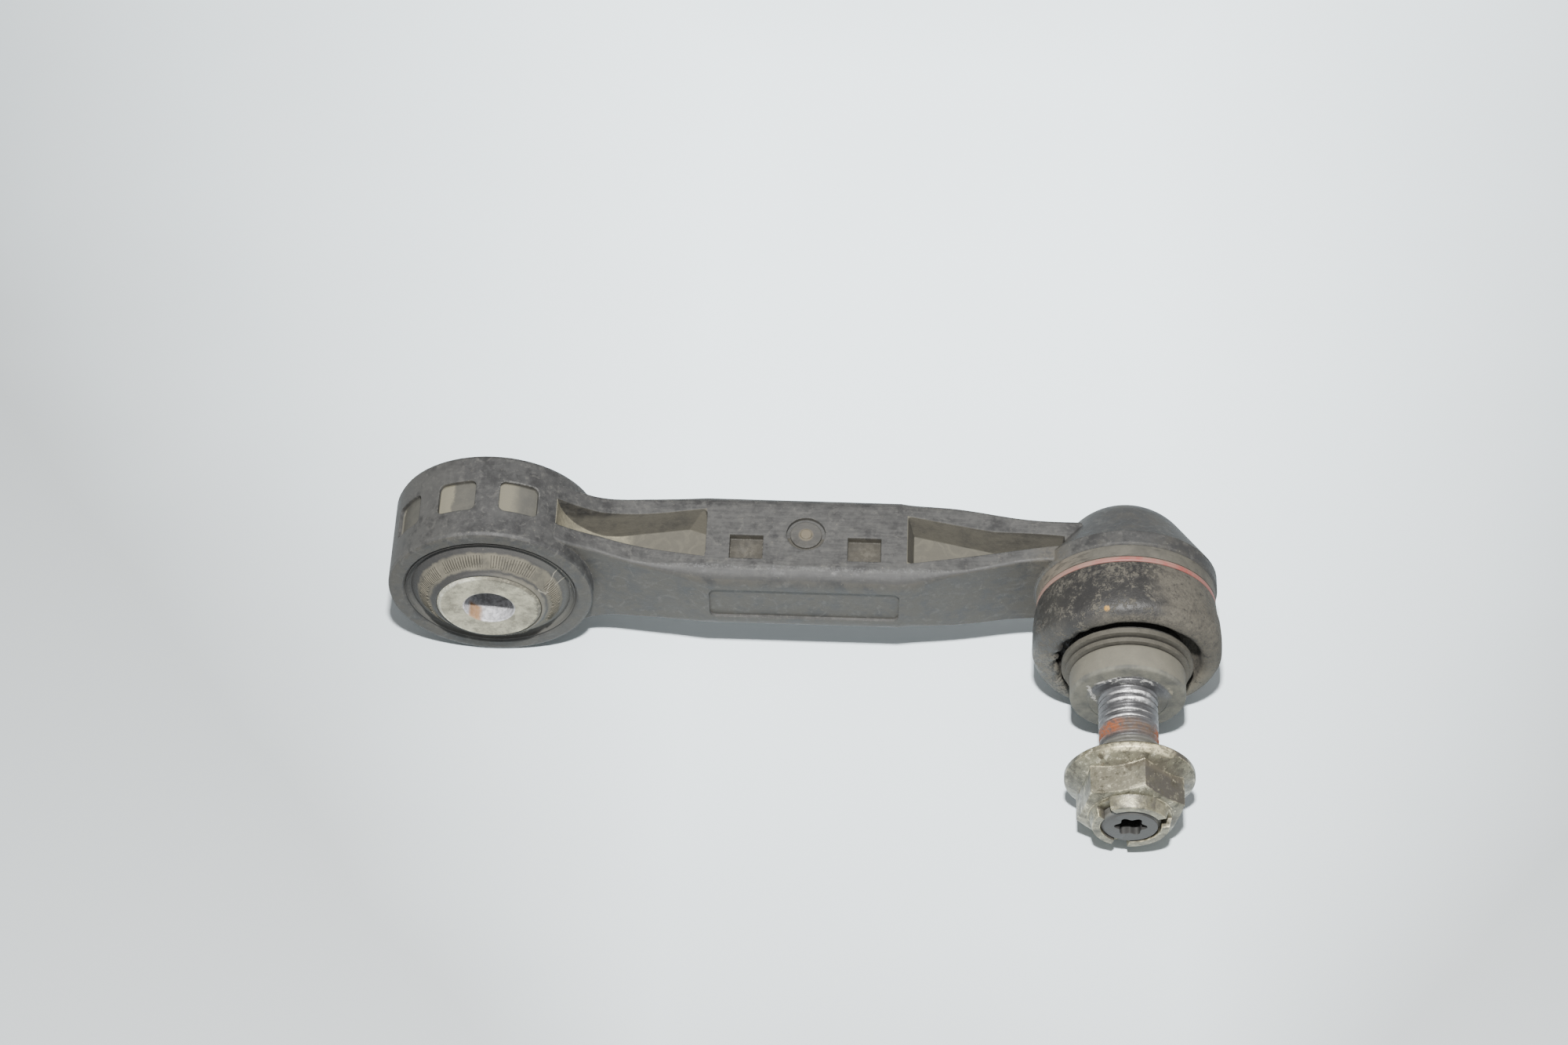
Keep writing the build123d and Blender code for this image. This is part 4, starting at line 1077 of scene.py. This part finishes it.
class LINK_OT_stud(Build, bpy.types.Operator):
    """Ball stud with a rolled thread"""
    bl_idname = "link.stud"
    bl_label = "Ball stud"

    def build(self):
        s = sizes()
        crest = s.thread_radius / MM
        pitch = s.thread_pitch / MM
        depth = s.thread_depth / MM

        def threaded(along, i):
            grown = min(1.0, (along - THREAD_FROM) / 0.9)
            radius = crest - grown * thread_drop((along / pitch + i / STUD_STEPS) % 1.0, depth)
            radius -= max(0.0, along - (STUD_END - CHAMFER))
            return min(radius, crest - RELIEF_DEPTH * relief(along))

        bm = bmesh.new()
        rings = [self.ring(bm, along, [max(radius, AXIS_RADIUS)] * STUD_STEPS)
                 for radius, along in stud_outline(crest)]
        rows = round((STUD_END - THREAD_FROM) / THREAD_ROW)
        for row in range(1, rows + 1):
            along = THREAD_FROM + (STUD_END - THREAD_FROM) * row / rows
            rings.append(self.ring(bm, along, [threaded(along, i) for i in range(STUD_STEPS)]))
        for here, following in zip(rings, rings[1:]):
            self.band(bm, here, following)
        bm.faces.new(rings[0])
        self.end_face(bm, rings[-1])
        stud = finished("ball_stud_threaded", bm)
        sharpen(stud)
        place(stud, stud_finish(), "stud", "stud_steel", "ball_stud")

    def ring(self, bm, along, radii):
        """Ring of points round the stud, with a radius for each of its steps."""
        return [bm.verts.new(spot(BALL, radius, -along, 2 * math.pi * i / STUD_STEPS))
                for i, radius in enumerate(radii)]

    def band(self, bm, here, following):
        """Faces between two rings."""
        for i in range(STUD_STEPS):
            nxt = (i + 1) % STUD_STEPS
            bm.faces.new((here[i], here[nxt], following[nxt], following[i]))

    def end_face(self, bm, rim):
        """End of the stud with its six-lobed key socket."""
        lobes = [SOCKET_RADIUS + SOCKET_LOBE * math.cos(6 * (2 * math.pi * i / STUD_STEPS + math.pi / 2))
                 for i in range(STUD_STEPS)]
        mouth = self.ring(bm, STUD_END, lobes)
        floor = self.ring(bm, STUD_END - SOCKET_DEPTH, lobes)
        self.band(bm, rim, mouth)
        self.band(bm, mouth, floor)
        bm.faces.new(floor)


def rounded(points, radius, steps=3):
    """Open outline with its inner corners rounded."""
    made = [points[0]]
    for before, corner, after in zip(points, points[1:], points[2:]):
        here = Vector(corner)
        before = Vector(before) - here
        after = Vector(after) - here
        reach = min(radius, before.length * 0.45, after.length * 0.45)
        start = here + before.normalized() * reach
        end = here + after.normalized() * reach
        for k in range(steps + 1):
            t = k / steps
            made.append(tuple(start * (1 - t) ** 2 + here * 2 * t * (1 - t) + end * t**2))
    return made + [points[-1]]


NUT_WEAR = 0.45 * MM


class LINK_OT_nut(Build, bpy.types.Operator):
    """Finish of the flange nut"""
    bl_idname = "link.nut"
    bl_label = "Flange nut"

    def build(self):
        nut = worn_copy("flange_nut", "flange_nut_worn", NUT_WEAR)
        place(nut, nut_finish(), "nut", "nut_zinc", "flange_nut")


# The photo's shadows fit a table that touches the eye's front edge and falls towards the back
TABLE_HALF = 3.0
TABLE_SLOPE = -0.18
TABLE_TOUCH = -10.0 * MM
TABLE_GAP = 0.1 * MM
LAMP_COLOUR = (1.0, 0.99, 0.965)
WORLD_STRENGTH = 0.45
# Name, place, target, size and power of each lamp
LAMPS = (
    ("flash", (0.071, -0.255, 0.690), (0.075, -0.01, 0.0), 0.035, 20.0),
    ("fill", (0.0, -1.0, 0.45), (0.075, 0.0, 0.0), 0.9, 1.6),
)
# The camera as fitted to the photo
CAMERA_LENS = 81.0
CAMERA_AT = (0.07493, -0.41030, 0.60139)
CAMERA_RIGHT = (0.99933, 0.03657, 0.0)
CAMERA_UP = (-0.02997, 0.81893, 0.57311)
CAMERA_FORWARD = (-0.02096, 0.57273, -0.81948)


class LINK_OT_stage(Build, bpy.types.Operator):
    """Pale floor, soft light and the camera"""
    bl_idname = "link.stage"
    bl_label = "Stage"

    def build(self):
        self.floor()
        self.world()
        for lamp in LAMPS:
            self.lamp(*lamp)
        self.camera()

    def floor(self):
        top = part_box("link_body")[0].z - TABLE_GAP
        bm = bmesh.new()
        half = TABLE_HALF
        corners = ((-half, -half), (half, -half), (half, half), (-half, half))
        bm.faces.new([bm.verts.new((x, y, top + TABLE_SLOPE * (y - TABLE_TOUCH))) for x, y in corners])
        floor = finished("table_top", bm)
        shade = Shade("table")
        cloudy, fine = shade.noises((0.09, 3, 0.5), (0.004, 3, 0.6))
        x, y, _ = shade.axes()
        # Painted light: the floor is paler at the back and darker towards the front and the sides, as a
        # lamp's falloff would make it.
        aside = (abs(x - 0.09) - 0.05).larger(0.0)
        back = ((y + 0.16) / 0.35 - aside * 4.0 + (cloudy - 0.5) * 0.12).limited()
        tone = colours().floor
        shade.start(back, [value * 0.84 for value in tone], [value * 1.14 for value in tone])
        floor.data.materials.append(shade.finish(0.45, fine, 0.00002))

    def world(self):
        world = bpy.data.worlds.new("soft_room")
        bpy.context.scene.world = world
        world.use_nodes = True
        back = world.node_tree.nodes["Background"]
        back.inputs["Color"].default_value = (*LAMP_COLOUR, 1.0)
        back.inputs["Strength"].default_value = WORLD_STRENGTH

    def lamp(self, name, where, target, size, power):
        light = bpy.data.lights.new(name, "AREA")
        light.size = size
        light.energy = power
        light.color = LAMP_COLOUR
        made = bpy.data.objects.new(name, light)
        made.location = where
        made.rotation_euler = (Vector(target) - Vector(where)).to_track_quat("-Z", "Y").to_euler()
        bpy.context.scene.collection.objects.link(made)

    def camera(self):
        lens = bpy.data.cameras.new("camera")
        lens.sensor_fit = "HORIZONTAL"
        lens.sensor_width = 36.0
        lens.lens = CAMERA_LENS
        lens.clip_start = 0.01
        lens.clip_end = 20.0
        made = bpy.data.objects.new("camera", lens)
        turned = Matrix((CAMERA_RIGHT, CAMERA_UP, -Vector(CAMERA_FORWARD))).transposed().to_4x4()
        made.matrix_world = Matrix.Translation(CAMERA_AT) @ turned
        bpy.context.scene.collection.objects.link(made)
        bpy.context.scene.camera = made


class LINK_PT_panel(bpy.types.Panel):
    """Lists the link's pieces, sizes and colours"""
    bl_idname = "LINK_PT_panel"
    bl_label = "Stabilizer link"
    bl_space_type = "VIEW_3D"
    bl_region_type = "UI"
    bl_category = "Link"

    def draw(self, context):
        column = self.layout.column()
        for operator in OPERATORS:
            column.operator(operator.bl_idname)
        for group in (context.scene.link_sizes, context.scene.link_colours):
            for key in group.__annotations__:
                column.prop(group, key)


OPERATORS = (LINK_OT_body, LINK_OT_bush, LINK_OT_rings, LINK_OT_boot, LINK_OT_stud, LINK_OT_nut,
             LINK_OT_stage)
CLASSES = (LinkColours, LinkSizes, *OPERATORS, LINK_PT_panel)


def register():
    for kind in CLASSES:
        bpy.utils.register_class(kind)
    bpy.types.Scene.link_colours = bpy.props.PointerProperty(type=LinkColours)
    bpy.types.Scene.link_sizes = bpy.props.PointerProperty(type=LinkSizes)


def unregister():
    del bpy.types.Scene.link_sizes
    del bpy.types.Scene.link_colours
    for kind in reversed(CLASSES):
        bpy.utils.unregister_class(kind)


def main():
    register()
    for operator in OPERATORS:
        group, name = operator.bl_idname.split(".")
        getattr(getattr(bpy.ops, group), name)()


if __name__ == "__main__":
    main()
